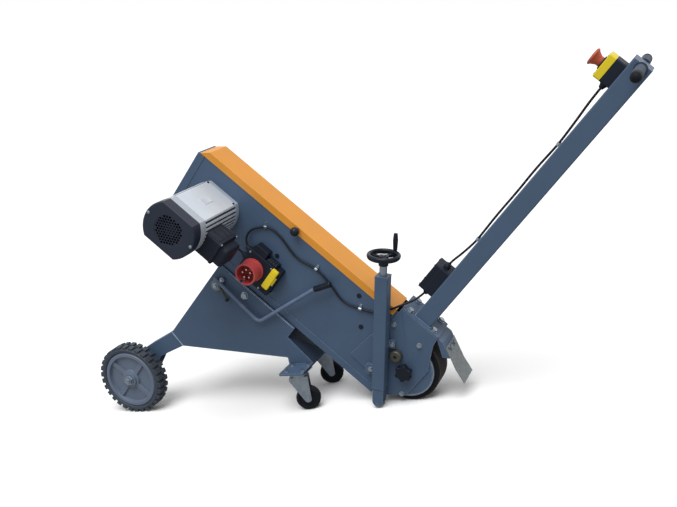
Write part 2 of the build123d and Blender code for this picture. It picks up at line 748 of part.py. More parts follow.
inlet += rod(INLET_SPOT, INLET_R + 3, inlet_floor, SWITCH_FACE)
inlet -= rod(INLET_SPOT, INLET_R - INLET_WALL, inlet_end - 1, inlet_floor)
inlet -= Pos(INLET_SPOT[0], INLET_SPOT[1] - INLET_R, inlet_end + 11) * Box(8, 2 * INLET_WALL + 2, 26)
pins = []
for loc in PolarLocations(PIN_CIRCLE, 5, start_angle=-90):
    pins.append(Pos(*INLET_SPOT, 0) * loc * rod((0, 0), PIN_R, inlet_end + 8, inlet_floor))
place("mains_inlet", inlet)
place("inlet_pins", group(*pins))
flap_u0 = box_u0 + FLAP_INSET[0]
flap_u1 = flap_u0 + FLAP_SIZE[0]
flap_n0 = box_n0 + FLAP_INSET[1]
flap_n1 = flap_n0 + FLAP_SIZE[1]
flap_face = SWITCH_FACE - GAP
flap = rounded(block((flap_u0, flap_u1), (flap_n0, flap_n1), (flap_face - FLAP_DEPTH, flap_face)), 4)
flap = fillet(flap.faces().sort_by(Axis.Z)[0].edges(), 2)
flap -= block(
    (flap_u0 + FLAP_WALL, flap_u1 - FLAP_WALL),
    (flap_n0 + FLAP_WALL, flap_n1 - FLAP_WALL),
    (flap_face - FLAP_DEPTH + FLAP_WALL, flap_face),
)
hinge_u = flap_u0 - HINGE_R - GAP
hinge_n = (flap_n0 + flap_n1) / 2
hinge_y = flap_face - HINGE_R
HINGE = Pos(hinge_u, hinge_n, hinge_y) * UP
barrel = HINGE_BARREL / 2
pin_half = barrel + GAP + HINGE_KNUCKLE
flap += HINGE * rod((0, 0), HINGE_R, -barrel, barrel)
barrel_span = (hinge_n - barrel, hinge_n + barrel)
flap += block((hinge_u, flap_u0 + FLAP_WALL), barrel_span, (hinge_y - HINGE_R, hinge_y))
flap -= HINGE * rod((0, 0), HINGE_PIN_R + FIT, -barrel - 1, barrel + 1)
switch += HINGE * rod((0, 0), HINGE_PIN_R, -pin_half, pin_half)
for low, high in ((-pin_half, -barrel - GAP), (barrel + GAP, pin_half)):
    foot_span = (hinge_u - HINGE_R, hinge_u + HINGE_R)
    switch += HINGE * rod((0, 0), HINGE_R, low, high)
    switch += block(foot_span, (hinge_n + low, hinge_n + high), (hinge_y, SWITCH_FACE + 1))
place("switch_flap", flap)
button_u = (flap_u0 + flap_u1) / 2
button_step = (flap_n1 - flap_n0) / 4
well = BUTTON_HEIGHT + BUTTON_TRAVEL + 1
for name, button_n in (("start_button", flap_n1 - button_step), ("stop_button", flap_n0 + button_step)):
    spot = (button_u, button_n)
    switch -= rod(spot, BUTTON_R + GAP, SWITCH_FACE, SWITCH_FACE + well)
    place(name, rod(spot, BUTTON_R, SWITCH_FACE - BUTTON_HEIGHT, SWITCH_FACE + BUTTON_HEIGHT))
place("switch_box", switch)

# Handle arm: foot plate, square tube, end cap and cross bar welded together
arm_span = (ARM_CENTRE - ARM_WIDTH / 2, ARM_FACE)
arm = rounded(block(arm_span, (FOOT_TOP, ARM_END), (-ARM_DEPTH / 2, ARM_DEPTH / 2)), 4, Axis.Y)
arm -= block(
    (arm_span[0] + ARM_WALL, arm_span[1] - ARM_WALL),
    (FOOT_TOP, ARM_END - ARM_WALL),
    (ARM_WALL - ARM_DEPTH / 2, ARM_DEPTH / 2 - ARM_WALL),
)
BAR = (ARM_CENTRE - 2, ARM_END - BAR_INSET)
bar_end = ARM_DEPTH / 2 + GRIP_LENGTH - GRIP_R
arm += rod(BAR, BAR_R, -bar_end, bar_end)
foot = block(head_span, (HEAD_TOP, FOOT_TOP), (-HEAD_FACE, HEAD_FACE))
arm += rounded(foot, 4, Axis.Y)
arm_bolts = []
for foot_u in (HEAD_FRONT + FOOT_BOLT_INSET, HEAD_BACK - FOOT_BOLT_INSET):
    for side in (-FOOT_BOLT_Y, FOOT_BOLT_Y):
        seat = Pos(foot_u, FOOT_TOP, side) * UP
        arm_bolts.append(seat * bolt("M10", FOOT_THICK + HEAD_THICK))
        arm -= seat * drill("M10", FOOT_THICK + HEAD_THICK)
        head_top -= seat * drill("M10", FOOT_THICK + HEAD_THICK)
place("handle_arm", arm)
place("head_top_plate", head_top)
grip_foot = ARM_DEPTH / 2 + GAP
grip_dome = grip_foot + GRIP_LENGTH - GRIP_R
grip = rod(BAR, GRIP_R, grip_foot, grip_dome) + Pos(*BAR, grip_dome) * Sphere(GRIP_R)
grip += rod(BAR, GRIP_RING_R, grip_foot, grip_foot + GRIP_RING)
grip -= rod(BAR, BAR_R + FIT, 0, bar_end + GAP)
place("handle_grips", group(grip, across(grip)))

# Emergency stop box on the arm's upper face
stop_span = (ARM_END - STOP_INSET - STOP_LENGTH, ARM_END - STOP_INSET)
stop_depth = (-STOP_DEPTH / 2, STOP_DEPTH / 2)
stop_lid_u = ARM_FACE + STOP_BASE
stop_top = stop_lid_u + STOP_LID
stop_base = rounded(block((ARM_FACE, stop_lid_u), stop_span, stop_depth), 5, Axis.X)
stop_base -= block(
    (ARM_FACE + 3, stop_lid_u),
    (stop_span[0] + 3, stop_span[1] - 3),
    (stop_depth[0] + 3, stop_depth[1] - 3),
)
place("estop_base", stop_base)
STOP = Pos(0, sum(stop_span) / 2, 0) * REARWARD
stop_lid = rounded(block((stop_lid_u, stop_top), stop_span, stop_depth), 5, Axis.X)
stop_lid = fillet(stop_lid.faces().sort_by(Axis.X)[-1].edges(), 2)
stop_lid -= STOP * rod((0, 0), STOP_STEM_R + GAP, stop_lid_u - 1, stop_top + 1)
place("estop_lid", stop_lid)
collar_top = stop_top + 4
stop_collar = STOP * ring((0, 0), STOP_STEM_R + 5, STOP_STEM_R + GAP, stop_top, collar_top)
cap_low = collar_top + STOP_TRAVEL + 10
stop_profile = [
    (0, stop_lid_u + 4),
    (STOP_STEM_R, stop_lid_u + 4),
    (STOP_STEM_R, collar_top + STOP_TRAVEL + 4),
    (STOP_CAP_R - 4, cap_low + 5),
    (STOP_CAP_R, cap_low + 8),
    (STOP_CAP_R, cap_low + 11),
    (STOP_CAP_R - 4, cap_low + 14),
    (0, cap_low + 15),
]
place("estop_button", STOP * turned(stop_profile))

# Junction box on the arm, glands, cable runs and their clips
junction_span = (FOOT_TOP + JUNCTION_FOOT, FOOT_TOP + JUNCTION_FOOT + JUNCTION_LENGTH)
junction_depth = (-JUNCTION_DEPTH / 2, JUNCTION_DEPTH / 2)
seam = ARM_FACE + 0.6 * JUNCTION_HEIGHT
junction_top = ARM_FACE + JUNCTION_HEIGHT
junction = rounded(block((ARM_FACE, seam), junction_span, junction_depth), 5, Axis.X)
junction += rounded(
    block(
        (seam, junction_top),
        (junction_span[0] + 1, junction_span[1] - 1),
        (junction_depth[0] + 1, junction_depth[1] - 1),
    ),
    5,
    Axis.X,
)
junction = fillet(junction.faces().sort_by(Axis.X)[-1].edges(), 2)
place("junction_box", junction)


def gland():
    """Cable gland on a wall at z = 0: hex body, domed nut and bore."""
    body = raised(RegularPolygon(GLAND_R, 6), 0.4 * GLAND_LENGTH)
    body += Pos(0, 0, 0.7 * GLAND_LENGTH) * Cone(0.9 * GLAND_R, 0.6 * GLAND_R, 0.6 * GLAND_LENGTH)
    return body - rod((0, 0), CABLE_R + GAP, 0, GLAND_LENGTH)


gland_u = ARM_FACE + 20
gland_y = -5
DOWN = Rot(90, 0, 0)
switch_exit = (box_u1, box_n1 - 14, SWITCH_FACE + 16)
motor_entry = (box_u1, box_n1 - 40, SWITCH_FACE + 16)
motor_exit = (
    TERMINAL_CENTRE[0] - box_u / 2 + GLAND_R + 2,
    TERMINAL_CENTRE[1] - 9,
    TERMINAL_CENTRE[2] + box_y / 2,
)
glands = [
    Pos(gland_u, junction_span[0], gland_y) * DOWN * gland(),
    Pos(gland_u, junction_span[1], gland_y) * UP * gland(),
    Pos(gland_u - 6, stop_span[0], gland_y) * DOWN * gland(),
    Pos(*switch_exit) * REARWARD * gland(),
    Pos(*motor_entry) * REARWARD * gland(),
    Pos(*motor_exit) * gland(),
]
plugs = []
for spot in PLUG_SPOTS:
    plug = rod(spot, PLUG_R + 1.5, -HALF - 1.5, -HALF)
    plugs.append(plug + rod(spot, PLUG_R - FIT, -HALF, PANEL_THICK - HALF))
place("glands_and_plugs", group(*glands, *plugs, stop_collar))


def between(low, high, share):
    """Value part of the way from one limit to the other."""
    return low + share * (high - low)


# Clip places with the cable's direction there
top_clip = box_u1 + 3
mid_clip = between(HEAD_CLIP, top_clip, 0.47)
panel_clips = ((top_clip, 63, 141), (mid_clip, 64, 175), (HEAD_CLIP, 58, 155))
arm_clips = [FOOT_TOP + share * ARM_LENGTH for share in ARM_CLIPS]
clip_u = ARM_FACE + CABLE_R + CLIP_WALL


def clipped(u, n, turn):
    """Two route points either side of a clip on the near panel."""
    step = (CLIP_RUN * math.cos(math.radians(turn)), CLIP_RUN * math.sin(math.radians(turn)))
    return [(u - step[0], n - step[1], CABLE_Y), (u + step[0], n + step[1], CABLE_Y)]


panel_route = [
    switch_exit,
    (box_u1 + 28, switch_exit[1], switch_exit[2]),
    (box_u1 + 28, 30, CABLE_Y - 3),
    *clipped(*panel_clips[0]),
    (between(mid_clip, top_clip, 0.728), 72, CABLE_Y),
    (between(mid_clip, top_clip, 0.344), 47, CABLE_Y),
    *clipped(*panel_clips[1]),
    (between(HEAD_CLIP, mid_clip, 0.636), 57, CABLE_Y),
    (between(HEAD_CLIP, mid_clip, 0.318), 37, CABLE_Y),
    *clipped(*panel_clips[2]),
    (HEAD_CLIP - 47, 84, CABLE_Y),
    (HEAD_BACK + 23, HEAD_TOP - 25, CABLE_Y - 2),
    (HEAD_BACK + 1, FOOT_TOP + 20, CABLE_Y - 1.5),
    (gland_u + 2, junction_span[0] - 40, gland_y - 12),
    (gland_u, junction_span[0] - 24, gland_y),
    (gland_u, junction_span[0], gland_y),
]
arm_route = [
    (gland_u, junction_span[1], gland_y),
    (gland_u, junction_span[1] + 24, gland_y),
    (gland_u - 8, junction_span[1] + 60, gland_y),
    (clip_u, arm_clips[0] - CLIP_RUN, gland_y),
    (clip_u, arm_clips[0] + CLIP_RUN, gland_y),
    (clip_u + 2.5, between(*arm_clips, 0.266), gland_y),
    (clip_u + 1, between(*arm_clips, 0.503), gland_y),
    (clip_u + 3, between(*arm_clips, 0.74), gland_y),
    (clip_u, arm_clips[1] - CLIP_RUN, gland_y),
    (clip_u, arm_clips[1] + CLIP_RUN, gland_y),
    (clip_u + 4, between(arm_clips[1], stop_span[0], 0.432), gland_y),
    (gland_u - 6, stop_span[0] - 45, gland_y),
    (gland_u - 6, stop_span[0], gland_y),
]
motor_route = [
    motor_exit,
    (motor_exit[0], motor_exit[1], motor_exit[2] + 35),
    (box_u1 + 48, motor_entry[1], motor_entry[2] - 2),
    (box_u1 + 24, motor_entry[1], motor_entry[2]),
    motor_entry,
]
cables = [tube(route, CABLE_R) for route in (panel_route, arm_route, motor_route)]
place("control_cables", group(*cables))


def clip():
    """Cable saddle on a wall at z = 0, cable along x, with its screw beside it."""
    height = CABLE_R + CLIP_WALL
    strap = Pos(0, 0, height) * Rot(0, 90, 0) * Cylinder(height, 9)
    strap += block((-4.5, 4.5), (-height, height), (0, height)) + block((-4.5, 4.5), (0, 15), (0, 1.5))
    strap -= Pos(0, 0, height) * Rot(0, 90, 0) * Cylinder(CABLE_R + GAP, 20)
    return strap + Pos(0, 10, 1.5) * raised(RegularPolygon(4, 6), 3.5)


clips = []
for clip_u_spot, clip_n_spot, turn in panel_clips:
    clips.append(Pos(clip_u_spot, clip_n_spot, -HALF) * Rot(0, 0, turn) * NEAR * clip())
for reach in arm_clips:
    clips.append(Pos(ARM_FACE, reach, gland_y) * Rot(0, 90, 0) * Rot(0, 0, 90) * clip())
place("cable_clips", group(*clips))

# Undercarriage: two side plates with inward top flanges, rear web, leg and caster shelf
side_outline = [
    (SIDE_REAR, PAN_LOW),
    (SIDE_FRONT, PAN_LOW),
    (SIDE_FRONT, PAN_LOW - SIDE_STEP),
    local(SHELF_X[1], SHELF_TOP),
    local(SHELF_X[0], SHELF_TOP),
    local(SHELF_X[0], SHELF_TOP + SIDE_SKIRT),
    local(*LEG_ROOT_LOW),
    local(*LEG_ROOT_TOP),
]
near_under = prism(side_outline, -SIDE_OUT, -SIDE_IN)
flange_span = (-SIDE_OUT, SIDE_FLANGE - SIDE_OUT)
near_under += block((SIDE_FRONT, SIDE_REAR), (PAN_LOW - SIDE_THICK, PAN_LOW), flange_span)
near_under -= rod(LEVER_PIVOT, LEVER_SHAFT_R + FIT, -SIDE_OUT, -SIDE_IN)
under_bolt = Pos(*SPACER_SPOT, -SIDE_OUT) * NEAR
near_under -= under_bolt * drill("M12", SIDE_THICK)
root_top = Vector(*local(*LEG_ROOT_TOP))
root_low = Vector(*local(*LEG_ROOT_LOW))
web_top = Vector(SIDE_REAR, PAN_LOW - SIDE_THICK)
web = prism(
    [
        (web_top.X, web_top.Y),
        (root_top.X, root_top.Y),
        (root_low.X, root_low.Y),
        (root_low.X, root_low.Y + 2 * SIDE_THICK),
        (root_top.X - SIDE_THICK, root_top.Y + SIDE_THICK),
        (web_top.X - SIDE_THICK, web_top.Y),
    ],
    -SIDE_IN,
    SIDE_IN,
)
shelf_edge = Vector(*local(SHELF_X[1], SHELF_TOP))
shelf_back = Vector(*local(SHELF_X[1] - 2 * SIDE_THICK, SHELF_TOP))
front_web = prism(
    [
        (SIDE_FRONT, PAN_LOW - SIDE_THICK),
        (SIDE_FRONT, PAN_LOW - SIDE_STEP),
        (shelf_edge.X, shelf_edge.Y),
        (shelf_back.X, shelf_back.Y),
        (SIDE_FRONT + SIDE_THICK, PAN_LOW - SIDE_STEP - SIDE_THICK),
        (SIDE_FRONT + SIDE_THICK, PAN_LOW - SIDE_THICK),
    ],
    -SIDE_IN,
    SIDE_IN,
)
spacer = ring(SPACER_SPOT, SPACER_R, BOLT_R["M12"] + GAP, -SIDE_IN, SIDE_IN)
shelf = block(SHELF_X, (-SHELF_HALF, SHELF_HALF), (SHELF_TOP - SHELF_THICK, SHELF_TOP))
shelf = rounded(shelf, 6)

REAR_AXLE = local(REAR_X, REAR_R)
leg_outline = [
    LEG_ROOT_TOP,
    (LEG_ROOT_TOP[0] - LEG_KNEE_TOP[0], LEG_ROOT_TOP[1] - LEG_KNEE_TOP[1]),
    (REAR_X - 34, REAR_R + 28),
    (REAR_X - 34, REAR_R - 30),
    (REAR_X + 28, REAR_R - 34),
    (LEG_ROOT_LOW[0] - LEG_KNEE_LOW[0], LEG_ROOT_LOW[1] - LEG_KNEE_LOW[1]),
    LEG_ROOT_LOW,
]
strip = prism([local(*spot) for spot in leg_outline], -SIDE_OUT, -SIDE_IN)
leg_web_outline = [
    leg_outline[0],
    leg_outline[1],
    (leg_outline[1][0], leg_outline[1][1] - SIDE_THICK),
    (leg_outline[0][0] + 2, leg_outline[0][1] - SIDE_THICK),
]
leg = strip + Pos(0, 0, LEG_INNER) * strip
leg += prism([local(*spot) for spot in leg_web_outline], -SIDE_OUT, LEG_INNER - SIDE_IN)
leg -= rod(REAR_AXLE, REAR_AXLE_R + FIT, -SIDE_OUT, HALF)
place("rear_leg", leg)

# Clamp lever: its cam presses on the housing's floor from below, and its rod passes ahead of the switch
hub_low = -SIDE_OUT - GAP - LEVER_HUB
rod_y = hub_low - 0.7 * LEVER_ROD_R
lever_route = [
    (LEVER_PIVOT[0] + LEVER_ROOT[0], LEVER_PIVOT[1] + LEVER_ROOT[1], rod_y),
    (box_u0 + LEVER_BEND[0], LEVER_BEND[1], rod_y),
    (box_u0 + LEVER_KNEE[0], LEVER_KNEE[1], rod_y - LEVER_SPREAD),
    (box_u0 + LEVER_END[0], LEVER_END[1], rod_y - LEVER_SPREAD),
]
lever = rod(LEVER_PIVOT, LEVER_HUB_R, hub_low, -SIDE_OUT - GAP)
lever = fillet(lever.edges().group_by(Axis.Z)[0], 1)
link_ends = Pos(*LEVER_PIVOT) * Circle(LEVER_HUB_R - 4) + Pos(*LEVER_EAR) * Circle(LEVER_EAR_R)
lever += Pos(0, 0, -SIDE_OUT - GAP - LEVER_LINK) * raised(make_hull(link_ends.edges()), LEVER_LINK)
lever += rod(LEVER_EAR, LEVER_EAR_R, hub_low - 1, -SIDE_OUT - GAP)
lever += Pos(*LEVER_EAR, hub_low - 1) * NEAR * bolt("M6", 2)
pin_ends = [(LEVER_PIVOT[0] + reach, LEVER_PIVOT[1] + rise, hub_low) for reach, rise in LEVER_PIN]
pin_line = Line(*pin_ends)
lever += sweep(Plane(pin_line @ 0, z_dir=pin_line % 0) * Circle(LEVER_PIN_R), path=pin_line)
lever += Plane(pin_line @ 1, z_dir=pin_line % 1).location * rod((0, 0), LEVER_TIP_R, -LEVER_TIP, 0)
lever_line = FilletPolyline(*lever_route[:3], radius=LEVER_BEND_R)
lever += sweep(Plane(lever_line @ 0, z_dir=lever_line % 0) * Circle(LEVER_ROD_R), path=lever_line)
grip_line = Line(lever_line @ 1, lever_route[3])
lever += sweep(Plane(grip_line @ 0, z_dir=grip_line % 0) * Circle(LEVER_ROD_R), path=grip_line)
lever -= rod(LEVER_PIVOT, LEVER_SHAFT_R + FIT, hub_low - 20, 0)
place("clamp_lever", lever)
grip_axis = Vector(*lever_route[3]) - Vector(*lever_route[2])
grip_plane = Plane(lever_line @ 1, z_dir=grip_axis)
lever_grip = rod((0, 0), LEVER_GRIP_R, 2, 2 + LEVER_GRIP)
lever_grip = fillet(lever_grip.edges(), 4)
lever_grip -= Cylinder(LEVER_ROD_R + FIT, 2 * (grip_axis.length + GAP))
place("lever_grip", grip_plane.location * lever_grip)
cam_reach = PAN_LOW - GAP - CAM_NOSE_R - LEVER_PIVOT[1]
cam_sketch = make_hull((Circle(CAM_R) + Pos(0, cam_reach) * Circle(CAM_NOSE_R)).edges())
cam = rod((0, 0), LEVER_SHAFT_R, hub_low - 2, SIDE_OUT + 4)
cam += Pos(0, 0, hub_low - 2) * NEAR * bolt("M8", 2)
cam += Pos(0, 0, -CAM_WIDTH / 2) * raised(cam_sketch, CAM_WIDTH)
place("cam_shaft", Pos(*LEVER_PIVOT, 0) * cam)

# Rear wheel: ribbed plastic hub and block-tread tyre
rear_back = REAR_FACE + REAR_WIDTH
boss_back = -SIDE_OUT - 1.5
hub_outline = [
    (REAR_AXLE_R + FIT, REAR_FACE - 2),
    (24, REAR_FACE - 2),
    (24, REAR_FACE + 4),
    (31, REAR_FACE + 5),
    (33, REAR_FACE + 12),
    (REAR_RIM_R - 16, REAR_FACE + 12),
    (REAR_RIM_R - 13, REAR_FACE + 1),
    (REAR_RIM_R - 3, REAR_FACE + 1),
    (REAR_RIM_R, REAR_FACE + 5),
    (REAR_RIM_R, rear_back - 5),
    (REAR_RIM_R - 12, rear_back - 3),
    (REAR_RIM_R - 14, REAR_FACE + 20),
    (24, REAR_FACE + 20),
    (22, boss_back),
    (REAR_AXLE_R + FIT, boss_back),
]
rear_hub = turned(hub_outline)
for loc in PolarLocations(0, 4):
    rear_hub += loc * block((26, REAR_RIM_R - 12), (-8, 8), (REAR_FACE + 6, REAR_FACE + 14))
place("rear_hub", Pos(*REAR_AXLE, 0) * rear_hub)
carcass_r = REAR_R - TREAD_HEIGHT
tyre_outline = [
    (REAR_RIM_R + FIT, REAR_FACE + 5),
    (REAR_RIM_R + 4, REAR_FACE + 1),
    (carcass_r - 5, REAR_FACE),
    (carcass_r, REAR_FACE + 6),
    (carcass_r, rear_back - 6),
    (carcass_r - 5, rear_back),
    (REAR_RIM_R + 4, rear_back - 1),
    (REAR_RIM_R + FIT, rear_back - 5),
]
rear_tyre = turned(tyre_outline)
tread_step = 360 / TREAD_COUNT
tread_low = carcass_r - 4
tread_arc = 0.6 * 2 * math.pi * REAR_R / TREAD_COUNT
tread_top = math.sqrt(REAR_R**2 - (tread_arc / 2) ** 2)
mid_face = (REAR_FACE + rear_back) / 2
near_blocks = block((tread_low, tread_top), (-tread_arc / 2, tread_arc / 2), (REAR_FACE + 1, mid_face - 2))
far_blocks = block((tread_low, tread_top), (-tread_arc / 2, tread_arc / 2), (mid_face + 2, rear_back - 1))
treads = []
for index in range(TREAD_COUNT):
    treads.append(Rot(0, 0, index * tread_step) * near_blocks)
    treads.append(Rot(0, 0, (index + 0.5) * tread_step) * far_blocks)
rear_tyre = rear_tyre + treads
place("rear_tyre", Pos(*REAR_AXLE, 0) * rear_tyre)
axle_end = REAR_FACE - 2 - 10
rear_axle = rod(REAR_AXLE, REAR_AXLE_R, axle_end - 3, LEG_INNER - SIDE_IN + 8)
rear_axle += Pos(*REAR_AXLE, axle_end) * raised(RegularPolygon(14, 6), 8)
rear_axle += rod(REAR_AXLE, 17, REAR_FACE - 4, REAR_FACE - 2 - GAP)
rear_axle += Pos(*REAR_AXLE, LEG_INNER - SIDE_IN) * raised(RegularPolygon(14, 6), 7)

# Casters, drawn on the near side in floor axes about the swivel axis
plate_x, plate_y, plate_z = CASTER_PLATE
shelf_low = SHELF_TOP - SHELF_THICK
cup_top = shelf_low - plate_z
cup_low = cup_top - CASTER_CUP
crown_top = cup_low - GAP
crown_low = crown_top - CROWN_THICK
fork_in = CASTER_WIDTH / 2 + 1.5
fork_out = fork_in + FORK_THICK
caster_plate = block((-plate_x / 2, plate_x / 2), (-plate_y / 2, plate_y / 2), (cup_top, shelf_low))
caster_plate = rounded(caster_plate, 6)
caster_plate += Cone(CASTER_CUP_R, CASTER_CUP_R + 3, CASTER_CUP).moved(Pos(0, 0, (cup_low + cup_top) / 2))
caster_plate += rod((0, 0), CASTER_PIN_R, crown_low - 3, cup_low)
fork_corners = [(-CROWN_BACK, crown_top), (-CROWN_BACK, crown_top - 8), (CASTER_TRAIL, CASTER_R)]
fork_corners += [(CROWN_FRONT, crown_top - 8), (CROWN_FRONT, crown_top)]
fork_sketch = Polygon(*fork_corners, align=None)
fork_sketch = make_hull((fork_sketch + Pos(CASTER_TRAIL, CASTER_R) * Circle(11)).edges())
cheek = extrude(Plane.XZ.offset(fork_in) * fork_sketch, FORK_THICK, dir=(0, -1, 0))
fork = cheek + mirror(cheek, about=Plane.XZ)
fork += block((-CROWN_BACK, CROWN_FRONT), (-fork_out, fork_out), (crown_low, crown_top))
fork += rod((0, 0), CASTER_CUP_R - 1, crown_low, crown_top)
fork -= rod((0, 0), CASTER_PIN_R + FIT, crown_low - 1, crown_top + 1)
WHEEL = Pos(CASTER_TRAIL, 0, CASTER_R) * Rot(90, 0, 0)
fork -= WHEEL * Cylinder(CASTER_AXLE_R + FIT, 4 * CASTER_WIDTH)
caster_axle = rod((0, 0), CASTER_AXLE_R, -fork_out - 3, fork_out + 3)
for low in (-fork_out - 5, fork_out):
    caster_axle += Pos(0, 0, low) * raised(RegularPolygon(7, 6), 5)
wheel_edge = CASTER_WIDTH / 2
caster_profile = [
    (CASTER_AXLE_R + FIT, -wheel_edge - 1),
    (9, -wheel_edge - 1),
    (10, -wheel_edge + 4),
    (CASTER_R - 12, -wheel_edge + 4),
    (CASTER_R - 10, -wheel_edge),
    (CASTER_R - 5, -wheel_edge),
    (CASTER_R, -wheel_edge + 6),
    (CASTER_R, wheel_edge - 6),
    (CASTER_R - 5, wheel_edge),
    (CASTER_R - 10, wheel_edge),
    (CASTER_R - 12, wheel_edge - 4),
    (10, wheel_edge - 4),
    (9, wheel_edge + 1),
    (CASTER_AXLE_R + FIT, wheel_edge + 1),
]
caster_wheel = WHEEL * turned(caster_profile)
caster_dx = (10 - plate_x / 2, plate_x / 2 - 10)
caster_dy = (9 - plate_y / 2, plate_y / 2 - 9)
caster_seats = [Pos(dx, dy, SHELF_TOP) for dx in caster_dx for dy in caster_dy]
caster_bolts = [seat * bolt("M8", SHELF_THICK + plate_z) for seat in caster_seats]
for seat in caster_seats:
    caster_plate -= seat * drill("M8", SHELF_THICK + plate_z)
plates = []
for side, caster_y in (("near", -CASTER_Y), ("far", CASTER_Y)):
    spot = Pos(CASTER_X, caster_y, 0)
    plates.append(spot * caster_plate)
    turned_spot = spot * Rot(0, 0, CASTER_TURN)
    place(f"{side}_caster_fork", turned_spot * group(fork, WHEEL * caster_axle), Plane.XY)
    place(f"{side}_caster_wheel", turned_spot * caster_wheel, Plane.XY)
    for seat in caster_seats:
        shelf -= spot * seat * drill("M8", SHELF_THICK)
place("caster_plates", group(*plates), Plane.XY)

# Depth column, drawn in its own axes: z runs up the column
column_half = COLUMN_SIZE / 2
slide_half = column_half - COLUMN_WALL - GAP
inner_half = column_half - COLUMN_WALL
column_span = (COLUMN_FOOT, COLUMN_HEAD)
column = rounded(block((-column_half, column_half), (-column_half, column_half), column_span), 3)
column -= block((-inner_half, inner_half), (-inner_half, inner_half), column_span)
cap_top = COLUMN_HEAD + COLUMN_CAP
column += block((-column_half, column_half), (-column_half, column_half), (COLUMN_HEAD, cap_top))
column += rod((0, 0), COLLAR_R, cap_top, cap_top + COLLAR)
column -= rod((0, 0), SPINDLE_R + FIT, COLUMN_HEAD - 1, cap_top + COLLAR + 1)
lug_back = -HEAD_FACE - COLUMN_Y
lug_spans = (((-50, -column_half), (93, 123)), ((column_half, 37), (188, 212)))
lug_bolts = []
lug_holes = []
for lug_x, lug_z in lug_spans:
    lug = rounded(block(lug_x, (lug_back - LUG_THICK, lug_back), lug_z), 4, Axis.Y)
    centre_x = lug_x[0] + 15 if lug_x[0] < 0 else lug_x[1] - 9
    seat = Pos(centre_x, lug_back - LUG_THICK, sum(lug_z) / 2) * DOWN
    lug_bolts.append(COLUMN.location * seat * bolt("M8", LUG_THICK + HEAD_THICK))
    lug_holes.append(BODY.location.inverse() * COLUMN.location * seat * drill("M8", LUG_THICK + HEAD_THICK))
    column += lug - seat * drill("M8", LUG_THICK)
place("column_tube", column, COLUMN)

roller_z = DEPTH_ROLLER_R / math.cos(LEAN)
slide = block((-slide_half, slide_half), (-slide_half, slide_half), (SLIDE_FOOT, SLIDE_TOP))
bottom_edges = slide.faces().sort_by(Axis.Z)[0].edges().filter_by(Axis.Y)
slide = fillet(bottom_edges, slide_half - 1)
bore_half = slide_half - SLIDE_WALL
bore_span = (roller_z + DEPTH_ROLLER_R + 12, SLIDE_TOP - 30)
slide -= block((-bore_half, bore_half), (-bore_half, bore_half), bore_span)
slot_half = DEPTH_ROLLER_WIDTH / 2 + 0.5
slide -= block((-column_half, column_half), (-slot_half, slot_half), (0, roller_z + DEPTH_ROLLER_R + 2))
slide -= rod((0, 0), SPINDLE_R + FIT, SLIDE_TOP - 40, SLIDE_TOP + 1)
ROLL = Pos(0, 0, roller_z) * Rot(90, 0, 0)
slide -= ROLL * Cylinder(CASTER_AXLE_R + FIT, COLUMN_SIZE)
roller_axle = ROLL * Cylinder(CASTER_AXLE_R, 2 * slide_half)
place("column_slide", group(slide, roller_axle), COLUMN)
depth_roller = Cylinder(DEPTH_ROLLER_R, DEPTH_ROLLER_WIDTH) - Cylinder(CASTER_AXLE_R + FIT, COLUMN_SIZE)
place("depth_roller", ROLL * chamfer(depth_roller.edges().filter_by(GeomType.CIRCLE), 1), COLUMN)

hub_foot = cap_top + COLLAR + GAP
WHEEL_HEIGHT = hub_foot + WHEEL_RISE
spindle = rod((0, 0), SPINDLE_R, SPINDLE_FOOT, WHEEL_HEIGHT + 3)
spindle += rod((0, 0), SPINDLE_R + 3, COLUMN_HEAD - 9, COLUMN_HEAD - GAP)
place("depth_spindle", spindle, COLUMN)
handwheel = Pos(0, 0, WHEEL_HEIGHT) * Torus(WHEEL_R, WHEEL_RIM_R)
handwheel += rod((0, 0), WHEEL_HUB_R, hub_foot, WHEEL_HEIGHT)
for loc in PolarLocations(0, 3, start_angle=CRANK_ANGLE):
    handwheel += loc * block((WHEEL_HUB_R - 3, WHEEL_R), (-5, 5), (WHEEL_HEIGHT - 9, WHEEL_HEIGHT - 1))
handwheel -= rod((0, 0), SPINDLE_R + FIT, hub_foot - 1, WHEEL_HEIGHT + 3 + FIT)
CRANK = Rot(0, 0, CRANK_ANGLE) * Pos(WHEEL_R, 0, 0)
crank_foot = WHEEL_HEIGHT + WHEEL_RIM_R + GAP
handwheel += CRANK * rod((0, 0), CRANK_PIN_R, WHEEL_HEIGHT, crank_foot + CRANK_LENGTH - 5)
place("handwheel", handwheel, COLUMN)
crank_outline = [
    (CRANK_PIN_R + FIT, crank_foot),
    (CRANK_R - 1.5, crank_foot),
    (CRANK_R, crank_foot + 0.6 * CRANK_LENGTH),
    (CRANK_R - 2, crank_foot + CRANK_LENGTH),
    (0, crank_foot + CRANK_LENGTH),
    (0, crank_foot + CRANK_LENGTH - 5 + FIT),
    (CRANK_PIN_R + FIT, crank_foot + CRANK_LENGTH - 5 + FIT),
]
place("crank_handle", CRANK * turned(crank_outline), COLUMN)

